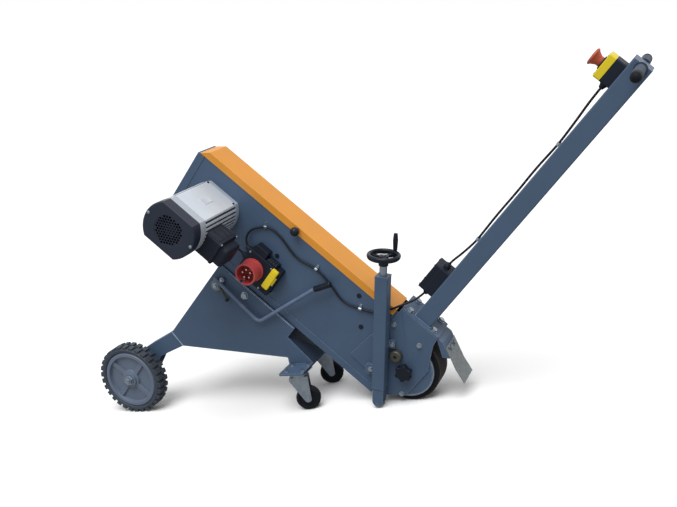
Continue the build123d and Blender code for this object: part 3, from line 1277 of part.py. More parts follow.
# Fasteners that stay with the frame, and the holes they pass through
head_bolts = []
for spot in HEAD_BOLTS:
    seat = Pos(*spot, -HEAD_FACE) * NEAR
    head_bolts.append(seat * bolt("M8", HEAD_THICK))
    near_head -= seat * drill("M8", HEAD_THICK - 1)
    far_head -= across(seat * drill("M8", HEAD_THICK - 1))
for hole in lug_holes:
    near_head -= hole
place("head_near_plate", near_head)
place("head_far_plate", far_head)
far_under = across(near_under)
under_frame = group(near_under, far_under, web, front_web, spacer, BODY.location.inverse() * shelf)
place("undercarriage_frame", under_frame)
fasteners = [BODY.location * item for item in arm_bolts + spark_bolts + head_bolts]
fasteners += [BODY.location * across(item) for item in head_bolts]
fasteners += [BODY.location * item for item in (under_bolt * bolt("M12", SIDE_THICK), rear_axle)]
fasteners += [BODY.location * item for item in (knob_stud, pivot_bolt)]
fasteners.append(BODY.location * across(under_bolt * bolt("M12", SIDE_THICK)))
fasteners += lug_bolts
for caster_y in (-CASTER_Y, CASTER_Y):
    fasteners += [Pos(CASTER_X, caster_y, 0) * item for item in caster_bolts]
place("frame_bolts", group(*fasteners), Plane.XY)

# The whole machine stands with the bottom centre of its box at the origin
box = Compound(children=[Compound(children=item.solids()) for item in nodes.values()]).bounding_box()
SHIFT = Pos(-(box.min.X + box.max.X) / 2, -(box.min.Y + box.max.Y) / 2, -box.min.Z)
for name, solid in nodes.items():
    export_step(SHIFT * solid, f"parts/{name}.step")
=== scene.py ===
import bpy
import json
import math
from mathutils import Matrix, Vector

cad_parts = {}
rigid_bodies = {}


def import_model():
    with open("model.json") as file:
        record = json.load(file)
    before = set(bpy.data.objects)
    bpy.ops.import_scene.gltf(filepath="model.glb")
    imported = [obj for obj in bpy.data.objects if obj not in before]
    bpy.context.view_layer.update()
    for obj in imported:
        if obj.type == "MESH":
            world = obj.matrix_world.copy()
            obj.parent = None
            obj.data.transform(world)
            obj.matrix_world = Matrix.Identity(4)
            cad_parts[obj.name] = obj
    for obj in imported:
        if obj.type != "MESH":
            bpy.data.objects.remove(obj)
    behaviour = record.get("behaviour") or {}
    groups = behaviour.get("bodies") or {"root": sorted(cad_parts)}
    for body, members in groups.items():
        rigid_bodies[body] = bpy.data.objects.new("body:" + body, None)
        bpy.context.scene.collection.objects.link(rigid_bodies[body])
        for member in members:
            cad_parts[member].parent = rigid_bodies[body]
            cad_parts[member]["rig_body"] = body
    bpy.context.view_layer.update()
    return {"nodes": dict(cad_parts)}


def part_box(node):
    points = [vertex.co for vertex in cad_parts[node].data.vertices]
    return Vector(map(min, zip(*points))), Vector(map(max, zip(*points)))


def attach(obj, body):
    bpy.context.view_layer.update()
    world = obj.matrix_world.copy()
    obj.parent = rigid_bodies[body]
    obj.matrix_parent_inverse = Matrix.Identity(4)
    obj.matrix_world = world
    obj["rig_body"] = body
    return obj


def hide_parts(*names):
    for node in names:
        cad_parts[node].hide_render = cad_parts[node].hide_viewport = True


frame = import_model()

# Side panels of the belt housing: 3 mm steel sheet, cut to shape and powder coated blue-grey. They carry the
# motor, the switch and the grinding head, and the belt runs between them


def linear(code):
    """Linear colour of an sRGB hex value."""
    channels = [int(code[i : i + 2], 16) / 255 for i in (1, 3, 5)]
    return [c / 12.92 if c <= 0.04045 else ((c + 0.055) / 1.055) ** 2.4 for c in channels] + [1]


def add(material, kind, inputs, **settings):
    """Node with its settings; an input is a value, or another node's output to link."""
    made = material.node_tree.nodes.new(kind)
    for name, value in settings.items():
        setattr(made, name, value)
    for name, value in inputs.items():
        if isinstance(value, bpy.types.NodeSocket):
            material.node_tree.links.new(value, made.inputs[name])
        else:
            made.inputs[name].default_value = value
    return made


def surface(
    name,
    code,
    roughness,
    metallic=0.0,
    grain=1.0,
    relief=0.1,
    patch=90.0,
    shift=0.05,
    run=(1, 1, 1),
    gloss=0.5,
    edge_highlight=0.0,
):
    """Material with a grain in relief, faint patches of tone and edges painted paler as a highlight; lengths
    are in millimetres.

    The grain has a width, a relief and a run that stretches it, and the patches have a width and a shift of
    tone. Gloss is the specular level, and edge_highlight says how strongly the edges are painted paler, as a
    painted highlight.
    """
    material = bpy.data.materials.new(name)
    material.use_nodes = True
    shader = material.node_tree.nodes["Principled BSDF"]
    shader.inputs["Metallic"].default_value = metallic
    shader.inputs["Specular IOR Level"].default_value = gloss
    link = material.node_tree.links.new
    place = add(material, "ShaderNodeTexCoord", {}).outputs["Object"]
    tone = add(material, "ShaderNodeTexNoise", {"Vector": place, "Scale": 1000 / patch, "Detail": 4.0})
    colour = linear(code)
    ramp = add(material, "ShaderNodeValToRGB", {"Fac": tone.outputs["Fac"]})
    for stop, position, gain in zip(ramp.color_ramp.elements, (0.3, 0.7), (1 - shift, 1 + shift)):
        stop.position = position
        stop.color = [min(1, c * gain) for c in colour[:3]] + [1]
    base = ramp.outputs["Color"]
    # Painted highlight: where the bevelled normal turns away from the face's own, the colour is mixed towards a
    # paler tone, broken up by noise
    if edge_highlight:
        edge_width = 2.5
        highlight_noise_width = 14
        flat_cosine, edge_cosine = 0.985, 0.8
        pale_lift, pale_gain = 0.18, 1.6
        rounded = add(material, "ShaderNodeBevel", {"Radius": edge_width / 1000}, samples=6)
        facing = add(material, "ShaderNodeNewGeometry", {})
        meet = add(
            material,
            "ShaderNodeVectorMath",
            {0: rounded.outputs["Normal"], 1: facing.outputs["Normal"]},
            operation="DOT_PRODUCT",
        )
        edge = add(
            material,
            "ShaderNodeMapRange",
            {
                "Value": meet.outputs["Value"],
                "From Min": flat_cosine,
                "From Max": edge_cosine,
                "To Min": 0.0,
                "To Max": edge_highlight,
            },
        )
        highlight_noise = add(
            material,
            "ShaderNodeTexNoise",
            {"Vector": place, "Scale": 1000 / highlight_noise_width, "Detail": 3.0},
        )
        highlight_mask = add(
            material,
            "ShaderNodeMath",
            {0: edge.outputs["Result"], 1: highlight_noise.outputs["Fac"]},
            operation="MULTIPLY",
        )
        pale = [min(1, pale_lift + c * pale_gain) for c in colour[:3]] + [1]
        mixed = add(material, "ShaderNodeMix", {0: highlight_mask.outputs[0], 6: base, 7: pale}, data_type="RGBA")
        base = mixed.outputs[2]
    link(base, shader.inputs["Base Color"])
    either_way = 0.06
    spread = add(
        material,
        "ShaderNodeMapRange",
        {"Value": tone.outputs["Fac"], "To Min": roughness - either_way, "To Max": roughness + either_way},
    )
    link(spread.outputs["Result"], shader.inputs["Roughness"])
    stretched = add(material, "ShaderNodeMapping", {"Vector": place, "Scale": run})
    bumps = add(
        material,
        "ShaderNodeTexNoise",
        {"Vector": stretched.outputs["Vector"], "Scale": 1000 / grain, "Detail": 2.0},
    )
    bump = add(
        material,
        "ShaderNodeBump",
        {"Height": bumps.outputs["Fac"], "Distance": relief / 1000, "Strength": 0.6},
    )
    link(bump.outputs["Normal"], shader.inputs["Normal"])
    return material


# Powder coat: baked polyester with a fine orange peel, about 2 mm across, which breaks up its satin gloss. Its
# edges get fine pale lines painted on as a highlight
blue_grey_coat = surface(
    "blue_grey_powder_coat", "#465a73", 0.45, grain=2.2, relief=0.05, gloss=0.33, edge_highlight=1.7
)


def pick(piece):
    """Select one object alone and make it active."""
    bpy.ops.object.select_all(action="DESELECT")
    piece.select_set(True)
    bpy.context.view_layer.objects.active = piece


SHARP_FOR_SHADING = math.radians(35)
SHARP_FOR_ROUNDING = math.radians(40)


def smooth(piece):
    """Smooth shading that keeps the sharp edges."""
    pick(piece)
    bpy.ops.object.shade_smooth_by_angle(angle=SHARP_FOR_SHADING)


def round_off(piece, radius):
    """Round the sharp edges of a piece; the radius is in millimetres."""
    pick(piece)
    edge = piece.modifiers.new("rounded edges", "BEVEL")
    edge.width = radius / 1000
    edge.segments = 2
    edge.limit_method = "ANGLE"
    edge.angle_limit = SHARP_FOR_ROUNDING
    edge.use_clamp_overlap = False
    bpy.ops.object.modifier_apply(modifier=edge.name)


SAME_CORNER = 0.000002
SAME_FACE = math.radians(0.4)


def finished(node, radius, *materials):
    """Copy of a CAD node with merged corners and rounded edges, which stands for the node."""
    source = frame["nodes"][node]
    piece = bpy.data.objects.new(node + "_finish", source.data.copy())
    bpy.context.scene.collection.objects.link(piece)
    pick(piece)
    bpy.ops.mesh.customdata_custom_splitnormals_clear()
    bpy.ops.object.mode_set(mode="EDIT")
    bpy.ops.mesh.select_all(action="SELECT")
    bpy.ops.mesh.remove_doubles(threshold=SAME_CORNER)
    bpy.ops.mesh.dissolve_limited(angle_limit=SAME_FACE)
    bpy.ops.object.mode_set(mode="OBJECT")
    if radius:
        round_off(piece, radius)
    smooth(piece)
    even = piece.modifiers.new("even shading", "WEIGHTED_NORMAL")
    even.keep_sharp = True
    bpy.ops.object.modifier_apply(modifier=even.name)
    piece.data.materials.clear()
    for material in materials:
        piece.data.materials.append(material)
    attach(piece, source["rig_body"])
    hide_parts(node)
    return piece


finished("near_side_panel", 0.8, blue_grey_coat)
finished("far_side_panel", 0.8, blue_grey_coat)

# Rear hood and bottom pan: folded 2 mm sheet that wraps the panels' edges, spot-welded to them and coated in
# the same powder
finished("rear_hood", 0.7, blue_grey_coat)
finished("bottom_pan", 0.7, blue_grey_coat)

# Grinding head: 5 mm plates screwed to the panels, a top plate for the arm's foot and a folded wheel guard. A
# thin disc on each plate closes the wheel's side, and its rim is painted bright zinc as a highlight along its
# edge

# Bright zinc plate: smooth grey metal with a soft mirror, clouded in patches 15 mm across
bright_zinc = surface(
    "bright_zinc_plate", "#98a2ad", 0.36, metallic=1.0, grain=2.5, relief=0.02, patch=15, shift=0.12
)

axle_centre = sum(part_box("contact_hub"), Vector()) / 2
TILT = math.radians(47)
UP_BELT = Vector((-math.cos(TILT), 0, math.sin(TILT)))
OFF_BELT = Vector((math.sin(TILT), 0, math.cos(TILT)))
ACROSS = Vector((0, 1, 0))


def along(point):
    """Housing millimetres of a row-frame point: up the belt, square to it and across."""
    offset = (point - axle_centre) * 1000
    return offset.dot(UP_BELT), offset.dot(OFF_BELT), offset.y


# The discs' rim faces get bright zinc, as a painted highlight
DISC_HIGHLIGHT_RIM = (80, 85)
for node in ("head_near_plate", "head_far_plate"):
    plate = finished(node, 0.6, blue_grey_coat, bright_zinc)
    radii = [math.hypot(*along(corner.co)[:2]) for corner in plate.data.vertices]
    for face in plate.data.polygons:
        if all(DISC_HIGHLIGHT_RIM[0] < radii[index] < DISC_HIGHLIGHT_RIM[1] for index in face.vertices):
            face.material_index = 1
finished("head_top_plate", 0.9, blue_grey_coat)
finished("wheel_guard", 0.6, blue_grey_coat)

# Spark plate: galvanised sheet, held by two bolts in slots. The zinc froze in flakes 6 mm across, each with
# its own grey
galvanised = surface("galvanised_sheet", "#a0a5a8", 0.38, metallic=1.0, grain=3, relief=0.02, patch=40)
FLAKE_WIDTH = 6
sheet_place = galvanised.node_tree.nodes["Texture Coordinate"].outputs["Object"]
flakes = add(galvanised, "ShaderNodeTexVoronoi", {"Vector": sheet_place, "Scale": 1000 / FLAKE_WIDTH})
flake_grey = add(galvanised, "ShaderNodeSeparateColor", {"Color": flakes.outputs["Color"]})
flake_tone = add(galvanised, "ShaderNodeValToRGB", {"Fac": flake_grey.outputs["Red"]})
flake_tone.color_ramp.elements[0].color = linear("#838a8d")
flake_tone.color_ramp.elements[1].color = linear("#999ea0")
galvanised_shader = galvanised.node_tree.nodes["Principled BSDF"]
galvanised.node_tree.links.new(flake_tone.outputs["Color"], galvanised_shader.inputs["Base Color"])
finished("spark_plate", 0.5, galvanised)

# Contact wheel: turned aluminium hub with a black rubber tyre, on sealed bearings and a fixed steel axle. The
# tracking bush beside it is olive-passivated, and its star knob is moulded phenolic

# Turned aluminium and steel: pale metals whose fine grain blurs the mirror, the steel a little less
turned_aluminium = surface("turned_aluminium", "#9ba1a7", 0.38, metallic=1.0, grain=0.8, relief=0.02)
turned_steel = surface("turned_steel", "#9c9fa2", 0.34, metallic=1.0, grain=0.8, relief=0.02)

# Moulded rubber: nearly black, with a dull sheen and faint greyer patches
black_rubber = surface("black_rubber", "#14171d", 0.62, grain=1.5, relief=0.05, shift=0.12, gloss=0.14)

# Olive passivation on steel: dark, matt and blotched, with only a little metal in its shine
olive_zinc = surface(
    "olive_passivated_steel", "#47463f", 0.5, metallic=0.4, grain=1.2, relief=0.03, patch=20
)

# Phenolic resin pressed in a polished mould: black and smooth, with a soft clear highlight, edges painted a
# little paler as a highlight, and a faint blue cast painted in as reflection of the cool surroundings
black_phenolic = surface(
    "black_phenolic", "#171c26", 0.3, grain=6, relief=0.03, shift=0.1, gloss=0.2, edge_highlight=0.12
)


def paint_where(piece, index, test):
    """Give a material slot to the faces whose centre passes a test."""
    for face in piece.data.polygons:
        if test(face.center):
            face.material_index = index


def apart(spot, place):
    """Millimetres between a row-frame point and a place on the housing, seen from the side."""
    return math.dist(along(spot)[:2], place)


finished("contact_hub", 0.5, turned_aluminium)
finished("contact_tyre", 0.8, black_rubber)
finished("contact_bearings", 0.3, turned_steel)
axle = finished("contact_axle", 0.5, turned_steel, olive_zinc)
BUSH_AT = (48, 21)
BUSH_REACH = 20
BUSH_FROM = -52.3
paint_where(axle, 1, lambda spot: along(spot)[2] < BUSH_FROM and apart(spot, BUSH_AT) < BUSH_REACH)
finished("tracking_knob", 0.6, black_phenolic)

# Sanding belt: resin-bonded brown corundum on cloth, one loop 75 mm wide, stretched over three wheels. It looks
# dark and rough, with no gloss. The grit is about 1 mm across here, coarser than real, so that it shows
grit = surface("abrasive_cloth", "#383030", 0.85, grain=1.0, relief=0.35, patch=25, shift=0.25)
belt = finished("sanding_belt", 0, grit)

# Inside drive: turned aluminium drive wheel on the motor shaft, and a steel idler roller on a sprung arm of
# zinc-plated strip
finished("drive_wheel", 0.5, turned_aluminium)
finished("tension_roller", 0.5, turned_steel)
finished("tension_arm", 0.4, bright_zinc)

# Motor: extruded aluminium body with cooling slots and flat sides, between two cast shields. A blank plate is
# riveted on its upper flat, and the slots are painted dark as shade

# Extruded aluminium: pale satin silver with draw lines along the body
extruded_aluminium = surface(
    "extruded_aluminium", "#d0d8e1", 0.45, metallic=0.3, grain=1.2, relief=0.02, run=(1, 0.04, 1), edge_highlight=0.2
)

# Painted shade in the slots: aluminium in a dark matt grey, with hardly any metal in its shine
slot_shade_aluminium = surface(
    "slot_shade_aluminium", "#4c5464", 0.7, metallic=0.1, grain=1.2, relief=0.03, gloss=0.2
)

# Cast aluminium: a grey skin, rougher than the extrusion, with pale edges painted on as a highlight
cast_aluminium = surface(
    "cast_aluminium", "#b6bec7", 0.5, metallic=0.35, grain=1.6, relief=0.08, edge_highlight=0.2
)

# Glass-filled nylon with a spark-eroded grain: black and matt, with edges painted a little greyer as a
# highlight, and a faint blue cast painted in as reflection of the cool surroundings
black_nylon = surface(
    "black_nylon", "#161d2a", 0.55, grain=1.4, relief=0.05, shift=0.12, gloss=0.2, edge_highlight=0.15
)

MOTOR_AT = (747, 0)
SLOT_REACH = 79
SLOT_HEIGHT = 62
SLOT_ENDS = (-239.5, -66.5)
FAN_BEYOND = -270


def in_slots(spot):
    """Whether a point of the motor's body lies in its cooling slots."""
    height, across = along(spot)[1:]
    inside = apart(spot, MOTOR_AT) < SLOT_REACH and abs(height) < SLOT_HEIGHT
    return inside and SLOT_ENDS[0] < across < SLOT_ENDS[1]


# The faces in the cooling slots get the dark aluminium, as painted shade
body = finished("motor_body", 0.5, extruded_aluminium, slot_shade_aluminium)
paint_where(body, 1, in_slots)
finished("motor_end_shields", 0.9, cast_aluminium)
rotor = finished("motor_rotor", 0, turned_steel, black_nylon)
paint_where(rotor, 1, lambda spot: along(spot)[2] < FAN_BEYOND)

HOUSING = Matrix.Translation(axle_centre) @ Matrix((UP_BELT, OFF_BELT, ACROSS)).transposed().to_4x4()
UPWARD = (0, 1, 0)


def slab(name, low, high):
    """Block between two corners in housing millimetres, drawn in the housing's axes."""
    bpy.ops.object.select_all(action="DESELECT")
    bpy.ops.mesh.primitive_cube_add(
        size=1,
        location=[(a + b) / 2000 for a, b in zip(low, high)],
        scale=[(b - a) / 1000 for a, b in zip(low, high)],
    )
    piece = bpy.context.object
    piece.name = name
    bpy.ops.object.transform_apply(location=True, rotation=False, scale=True)
    return piece


def edit_faces(piece, facing):
    """Enter edit mode with only the faces that look one way selected."""
    pick(piece)
    bpy.ops.object.mode_set(mode="EDIT")
    bpy.ops.mesh.select_mode(type="FACE")
    bpy.ops.mesh.select_all(action="DESELECT")
    bpy.ops.object.mode_set(mode="OBJECT")
    for face in piece.data.polygons:
        face.select = face.normal.dot(Vector(facing)) > 0.9
    bpy.ops.object.mode_set(mode="EDIT")


def step_face(piece, facing, rim, rise):
    """Raise or sink the middle of a face inside a rim; both sizes are in millimetres."""
    edit_faces(piece, facing)
    bpy.ops.mesh.inset(thickness=rim / 1000, depth=rise / 1000)
    bpy.ops.object.mode_set(mode="OBJECT")


def seat(piece, material, body):
    """Put a piece drawn in the housing's axes in its place, on a body."""
    piece.data.transform(HOUSING)
    smooth(piece)
    piece.data.materials.clear()
    piece.data.materials.append(material)
    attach(piece, body)


motor_plate = slab("motor_plate", (736, 63.2, -176), (758, 64.8, -135))
step_face(motor_plate, UPWARD, 1.2, -0.4)
round_off(motor_plate, 0.2)
seat(motor_plate, extruded_aluminium, "frame")


def screws(name, radius, spots, facing):
    """Pan-head screws with a cross recess, as one mesh in the housing's axes; lengths in millimetres."""
    size = radius / 1000
    bpy.ops.object.select_all(action="DESELECT")
    bpy.ops.mesh.primitive_cylinder_add(
        vertices=20, radius=size, depth=0.9 * size, location=(0, 0, 0.2 * size)
    )
    head = bpy.context.object
    bpy.ops.object.transform_apply(location=True, rotation=False, scale=False)
    edit_faces(head, (0, 0, 1))
    bpy.ops.mesh.bevel(offset=0.3 * size, segments=3, affect="EDGES")
    bpy.ops.object.mode_set(mode="OBJECT")
    for turn in (0, math.pi / 2):
        bpy.ops.object.select_all(action="DESELECT")
        bpy.ops.mesh.primitive_cube_add(
            size=1,
            location=(0, 0, 0.65 * size),
            rotation=(0, 0, turn),
            scale=(1.2 * size, 0.3 * size, 0.5 * size),
        )
        blade = bpy.context.object
        pick(head)
        recess = head.modifiers.new("cross recess", "BOOLEAN")
        recess.operation = "DIFFERENCE"
        recess.object = blade
        bpy.ops.object.modifier_apply(modifier=recess.name)
        bpy.data.objects.remove(blade)
    upright = Vector(facing).to_track_quat("Z", "Y").to_matrix().to_4x4()
    first_turn, next_turn = 0.3, 0.7
    row = []
    for index, spot in enumerate(spots):
        screw = bpy.data.objects.new(name, head.data.copy())
        spin = Matrix.Rotation(next_turn * index + first_turn, 4, "Z")
        screw.data.transform(Matrix.Translation([c / 1000 for c in spot]) @ upright @ spin)
        bpy.context.scene.collection.objects.link(screw)
        row.append(screw)
    bpy.data.objects.remove(head)
    pick(row[0])
    for screw in row[1:]:
        screw.select_set(True)
    bpy.ops.object.join()
    return row[0]


shield_screws = screws("shield_screws", 3.6, [(798, 63.5, -72), (698, 63.5, -72)], UPWARD)
seat(shield_screws, black_nylon, "frame")

# Fan cover: deep-drawn sheet in dark navy enamel, with a round grille of hexagonally set holes, held by
# zinc-plated screws. The enamel is smooth and half glossy, with a thin pale line painted at its edges as a
# highlight
navy_enamel = surface("navy_enamel", "#1e2637", 0.38, grain=2.5, relief=0.04, gloss=0.35, edge_highlight=0.15)
finished("fan_cover", 0.25, navy_enamel)
NEARWARD = (0, 0, -1)
cover_screws = screws("fan_cover_screws", 4.6, [(822, 6, -305), (669, 9, -305)], NEARWARD)
seat(cover_screws, bright_zinc, "frame")

# Terminal box and its lid: black glass-filled nylon, moulded with a fine spark-eroded grain. Its upper face is
# ribbed, and small screws hold the lid
finished("terminal_box", 0.6, black_nylon)


def repeat(piece, count, step):
    """Copies of a piece in a row, as one mesh; the step is in housing millimetres."""
    pick(piece)
    row = piece.modifiers.new("row", "ARRAY")
    row.count = count
    row.use_relative_offset = False
    row.use_constant_offset = True
    row.constant_offset_displace = [c / 1000 for c in step]
    bpy.ops.object.modifier_apply(modifier=row.name)


# Painted highlight: the same nylon, greyer and shinier where it stands proud
lit_black_nylon = surface(
    "painted_highlight_black_nylon", "#2b303b", 0.5, grain=1.4, relief=0.05, shift=0.12, gloss=0.3
)
# The ribs get the greyer nylon, as a painted highlight on what stands proud
terminal_ribs = slab("terminal_ribs", (627, 35.6, -234), (668, 37.4, -230.5))
repeat(terminal_ribs, 12, (0, 0, 7.1))
round_off(terminal_ribs, 0.6)
seat(terminal_ribs, lit_black_nylon, "frame")
DOWN_BELT = (-1, 0, 0)
lid_spots = [(616, 33, -234), (616, 33, -150), (616, -40, -202)]
lid_screws = screws("terminal_screws", 3.4, lid_spots, DOWN_BELT)
seat(lid_screws, bright_zinc, "frame")

# Switch: black nylon box with a red mains inlet, and a yellow flap over a green and a red button. A small relay
# with cooling ridges is plugged in beside the first one, and corner screws hold the front
finished("switch_box", 0.6, black_nylon)
switch_spots = [(573, -19, -80), (492, -18, -80), (491, -98, -80), (571, -98, -80)]
switch_screws = screws("switch_screws", 3.4, switch_spots, NEARWARD)
seat(switch_screws, bright_zinc, "frame")
small_relay = slab("small_relay", (482, -10.5, -77), (518, -2, -48))
step_face(small_relay, UPWARD, 2, 1.2)
round_off(small_relay, 0.6)
seat(small_relay, black_nylon, "frame")
# The relay's ridges get the greyer nylon too, as a painted highlight
relay_ridges = slab("relay_ridges", (486, -6, -77.8), (488.5, -0.2, -50))
repeat(relay_ridges, 4, (8.2, 0, 0))
round_off(relay_ridges, 0.4)
seat(relay_ridges, lit_black_nylon, "frame")

# Red nylon: moulded smooth, an even red with a soft highlight along the inlet's rim
red_nylon = surface("red_nylon", "#b84648", 0.38, grain=1.5, relief=0.04, edge_highlight=0.2)
finished("mains_inlet", 0.6, red_nylon)

# Nickel on brass: a clear, faintly yellow mirror
nickel_brass = surface("nickel_plated_brass", "#cfcabd", 0.25, metallic=1.0, grain=1.5, relief=0.01)
finished("inlet_pins", 0.5, nickel_brass)

# ABS: moulded smooth, with even strong colours, a soft gloss and edges painted paler as a highlight
yellow_abs = surface("yellow_abs", "#e4cc16", 0.4, grain=1.5, relief=0.04, shift=0.03, edge_highlight=0.3)
green_abs = surface("green_abs", "#1f8a46", 0.38, grain=1.5, relief=0.03)
red_abs = surface("red_abs", "#ae4a3c", 0.38, grain=1.5, relief=0.03, edge_highlight=0.2)
finished("switch_flap", 0.25, yellow_abs)
flap_ridges = slab("flap_ridges", (468.5, -30, -91.1), (483.5, -28, -90))
repeat(flap_ridges, 4, (0, 4, 0))
round_off(flap_ridges, 0.4)
seat(flap_ridges, yellow_abs, "flap")
finished("start_button", 0.6, green_abs)
finished("stop_button", 0.6, red_abs)

# Top cover: folded 1.5 mm sheet in orange powder coat, lifted off after its ball knob of black phenolic resin
# is turned loose. The coat is satin, with the same orange peel and painted pale edge highlights as the
# housing's
orange_coat = surface("orange_powder_coat", "#dd922a", 0.42, grain=2.2, relief=0.05, shift=0.04, edge_highlight=1.1)
finished("top_cover", 0.6, orange_coat)
finished("cover_knob", 0.4, black_phenolic)

# Undercarriage: welded plate frame with the caster shelf, and the folded leg of the rear wheel. A pale strip is
# painted along the bend at the top of the near plate as a highlight, and the front web between the side plates
# is painted darker as shade. The weld at the leg's root is painted over, and given the pale coat as a highlight

# Painted shade: the same powder coat, darker and matt, so that the web keeps in the shade of the housing
web_shade_coat = surface(
    "painted_shade_powder_coat", "#2b394c", 0.7, grain=2.2, relief=0.05, patch=40, gloss=0.12
)

# Painted highlight: a paler, brighter coat, patchy, for the light caught along the bend and on the weld
highlight_coat = surface(
    "painted_highlight_powder_coat", "#9fafc4", 0.35, metallic=0.2, grain=2.2, relief=0.05, patch=30, shift=0.3
)

FACES_FRONT = 0.6
FACES_ACROSS = 0.1
WEB_HALF_WIDTH = 44
# The web's forward faces get the dark coat, as painted shade
undercarriage = finished("undercarriage_frame", 0.6, blue_grey_coat, web_shade_coat)
for face in undercarriage.data.polygons:
    forward_face = face.normal.x > FACES_FRONT and abs(face.normal.y) < FACES_ACROSS
    if forward_face and abs(along(face.center)[2]) < WEB_HALF_WIDTH:
        face.material_index = 1
finished("rear_leg", 0.6, blue_grey_coat)
# A pale strip along the bend, as a painted highlight
bend_highlight = slab("bend_highlight", (335, -144.2, -55.7), (597, -142.6, -54.6))
step_face(bend_highlight, NEARWARD, 0.3, 0.3)
seat(bend_highlight, highlight_coat, "frame")


def weld(name, start, end, width):
    """Row of weld drops between two points in the housing's millimetres."""
    run = (Vector(end) - Vector(start)) / 1000
    step = 0.55 * width / 1000
    bpy.ops.object.select_all(action="DESELECT")
    bpy.ops.mesh.primitive_uv_sphere_add(segments=12, ring_count=8, radius=width / 2000)
    drop = bpy.context.object
    drop.name = name
    bpy.ops.object.mode_set(mode="EDIT")
    bpy.ops.mesh.select_all(action="SELECT")
    bpy.ops.transform.resize(value=(0.7, 1, 1))
    bpy.ops.object.mode_set(mode="OBJECT")
    repeat(drop, max(2, int(run.length / step) + 1), (step * 1000, 0, 0))
    turn = run.to_track_quat("X", "Z").to_matrix().to_4x4()
    drop.data.transform(Matrix.Translation(Vector(start) / 1000) @ turn)
    return drop


def floor_spot(x, y, z):
    """Housing millimetres of a point given from the axle along the floor, and from the floor up."""
    return along(Vector((axle_centre.x, axle_centre.y, 0)) + Vector((x, y, z)) / 1000)


# The leg's weld gets the pale coat, as a painted highlight
leg_weld = weld("leg_weld", floor_spot(-779, -55, 257), floor_spot(-750, -55, 209), 4.5)
seat(leg_weld, highlight_coat, "frame")

# Rear wheel: grey polypropylene hub, moulded with ribs, and a solid grey rubber tyre, moulded with a block
# tread. It turns on an axle at the end of the leg

# Polypropylene: an even mid grey with a waxy half gloss, its edges painted paler as a highlight
grey_polypropylene = surface("grey_polypropylene", "#606d80", 0.45, grain=1.6, relief=0.04, edge_highlight=0.3)

# Tyre rubber: dark grey with a dull sheen, the edges of its blocks painted pale as a highlight
grey_rubber = surface(
    "grey_tyre_rubber", "#353d48", 0.6, grain=1.5, relief=0.06, shift=0.1, gloss=0.4, edge_highlight=0.3
)
finished("rear_hub", 0.8, grey_polypropylene)
finished("rear_tyre", 0.4, grey_rubber)

# Casters: forks and top plates pressed from steel sheet and zinc-plated, bolted under the shelf. They swivel,
# and their wheels are moulded from black rubber
for node in ("caster_plates", "near_caster_fork", "far_caster_fork"):
    finished(node, 0.5, bright_zinc)
for node in ("near_caster_wheel", "far_caster_wheel"):
    finished(node, 0.5, black_rubber)

# Clamp lever: zinc-plated hub with a bolted ear, coated rod, olive locking pin with a black tip, moulded grip
# and a steel cam shaft across the undercarriage. The rod's coat is painted paler and shinier as a highlight

# Dull zinc plate: older zinc, darker and cloudier than the bright kind
dull_zinc = surface(
    "dull_zinc_plate", "#6d757b", 0.42, metallic=0.9, grain=2.5, relief=0.02, patch=15, shift=0.15
)

# Painted highlight on the rod: the coat in a paler blue-grey that shines more
rod_highlight_coat = surface(
    "painted_highlight_rod_coat", "#5a6c87", 0.36, grain=2.2, relief=0.05, patch=40, shift=0.12
)
# The rod keeps the paler coat, as a painted highlight
lever = finished("clamp_lever", 0, rod_highlight_coat, bright_zinc, olive_zinc, black_phenolic, dull_zinc)
PIN_FROM = Vector((597, -197))
PIN_TO = Vector((548, -220))
PIN_REACH = 5
TIP_REACH = 8.5
HUB_AT = (607, -205)
HUB_REACH = 19
EAR_AT = (601, -174)
EAR_REACH = 9


def from_pin(spot):
    """Distance of a point from the locking pin's line, seen from the side."""
    place = Vector(along(spot)[:2])
    run = PIN_TO - PIN_FROM
    share = max(0, min(1, (place - PIN_FROM).dot(run) / run.length_squared))
    return (place - PIN_FROM - run * share).length


paint_where(lever, 2, lambda spot: from_pin(spot) < PIN_REACH)
paint_where(lever, 3, lambda spot: apart(spot, PIN_TO) < TIP_REACH)
paint_where(lever, 4, lambda spot: apart(spot, HUB_AT) < HUB_REACH)
paint_where(lever, 1, lambda spot: apart(spot, EAR_AT) < EAR_REACH)
finished("lever_grip", 0.6, black_phenolic)
finished("cam_shaft", 0.4, bright_zinc)

# Depth column: square tube welded to its lugs, inner slide with roller, screw spindle in a plated collar and a
# moulded handwheel with a crank handle. The handwheel's rim hangs lower than its spokes
column = finished("column_tube", 0, blue_grey_coat, bright_zinc)
LEAN = math.radians(13)
COLUMN_FOOT = Vector((axle_centre.x - 0.095, axle_centre.y - 0.077, 0))
UP_COLUMN = Vector((math.sin(LEAN), 0, math.cos(LEAN)))
ALONG_COLUMN = Vector((math.cos(LEAN), 0, -math.sin(LEAN)))
COLLAR_FROM = 0.4152
paint_where(column, 1, lambda spot: (spot - COLUMN_FOOT).dot(UP_COLUMN) > COLLAR_FROM)
LUG_SIDE = 14.6
for index, (side, low, high) in enumerate(((-19.6, 95, 121), (19.6, 190, 210))):
    ends = [
        along(COLUMN_FOOT + (ALONG_COLUMN * side + ACROSS * LUG_SIDE + UP_COLUMN * height) / 1000)
        for height in (low, high)
    ]
    lug_weld = weld(f"lug_weld_{index}", *ends, 4)
    seat(lug_weld, blue_grey_coat, "frame")
finished("column_slide", 0.7, blue_grey_coat)
finished("depth_roller", 0.4, turned_steel)
finished("depth_spindle", 0.3, turned_steel)
handwheel = finished("handwheel", 0.6, black_phenolic)
RIM_HEIGHT = 0.474
RIM_REACH = 0.0355
RIM_HALF = 0.006
RIM_STRETCH = 0.6
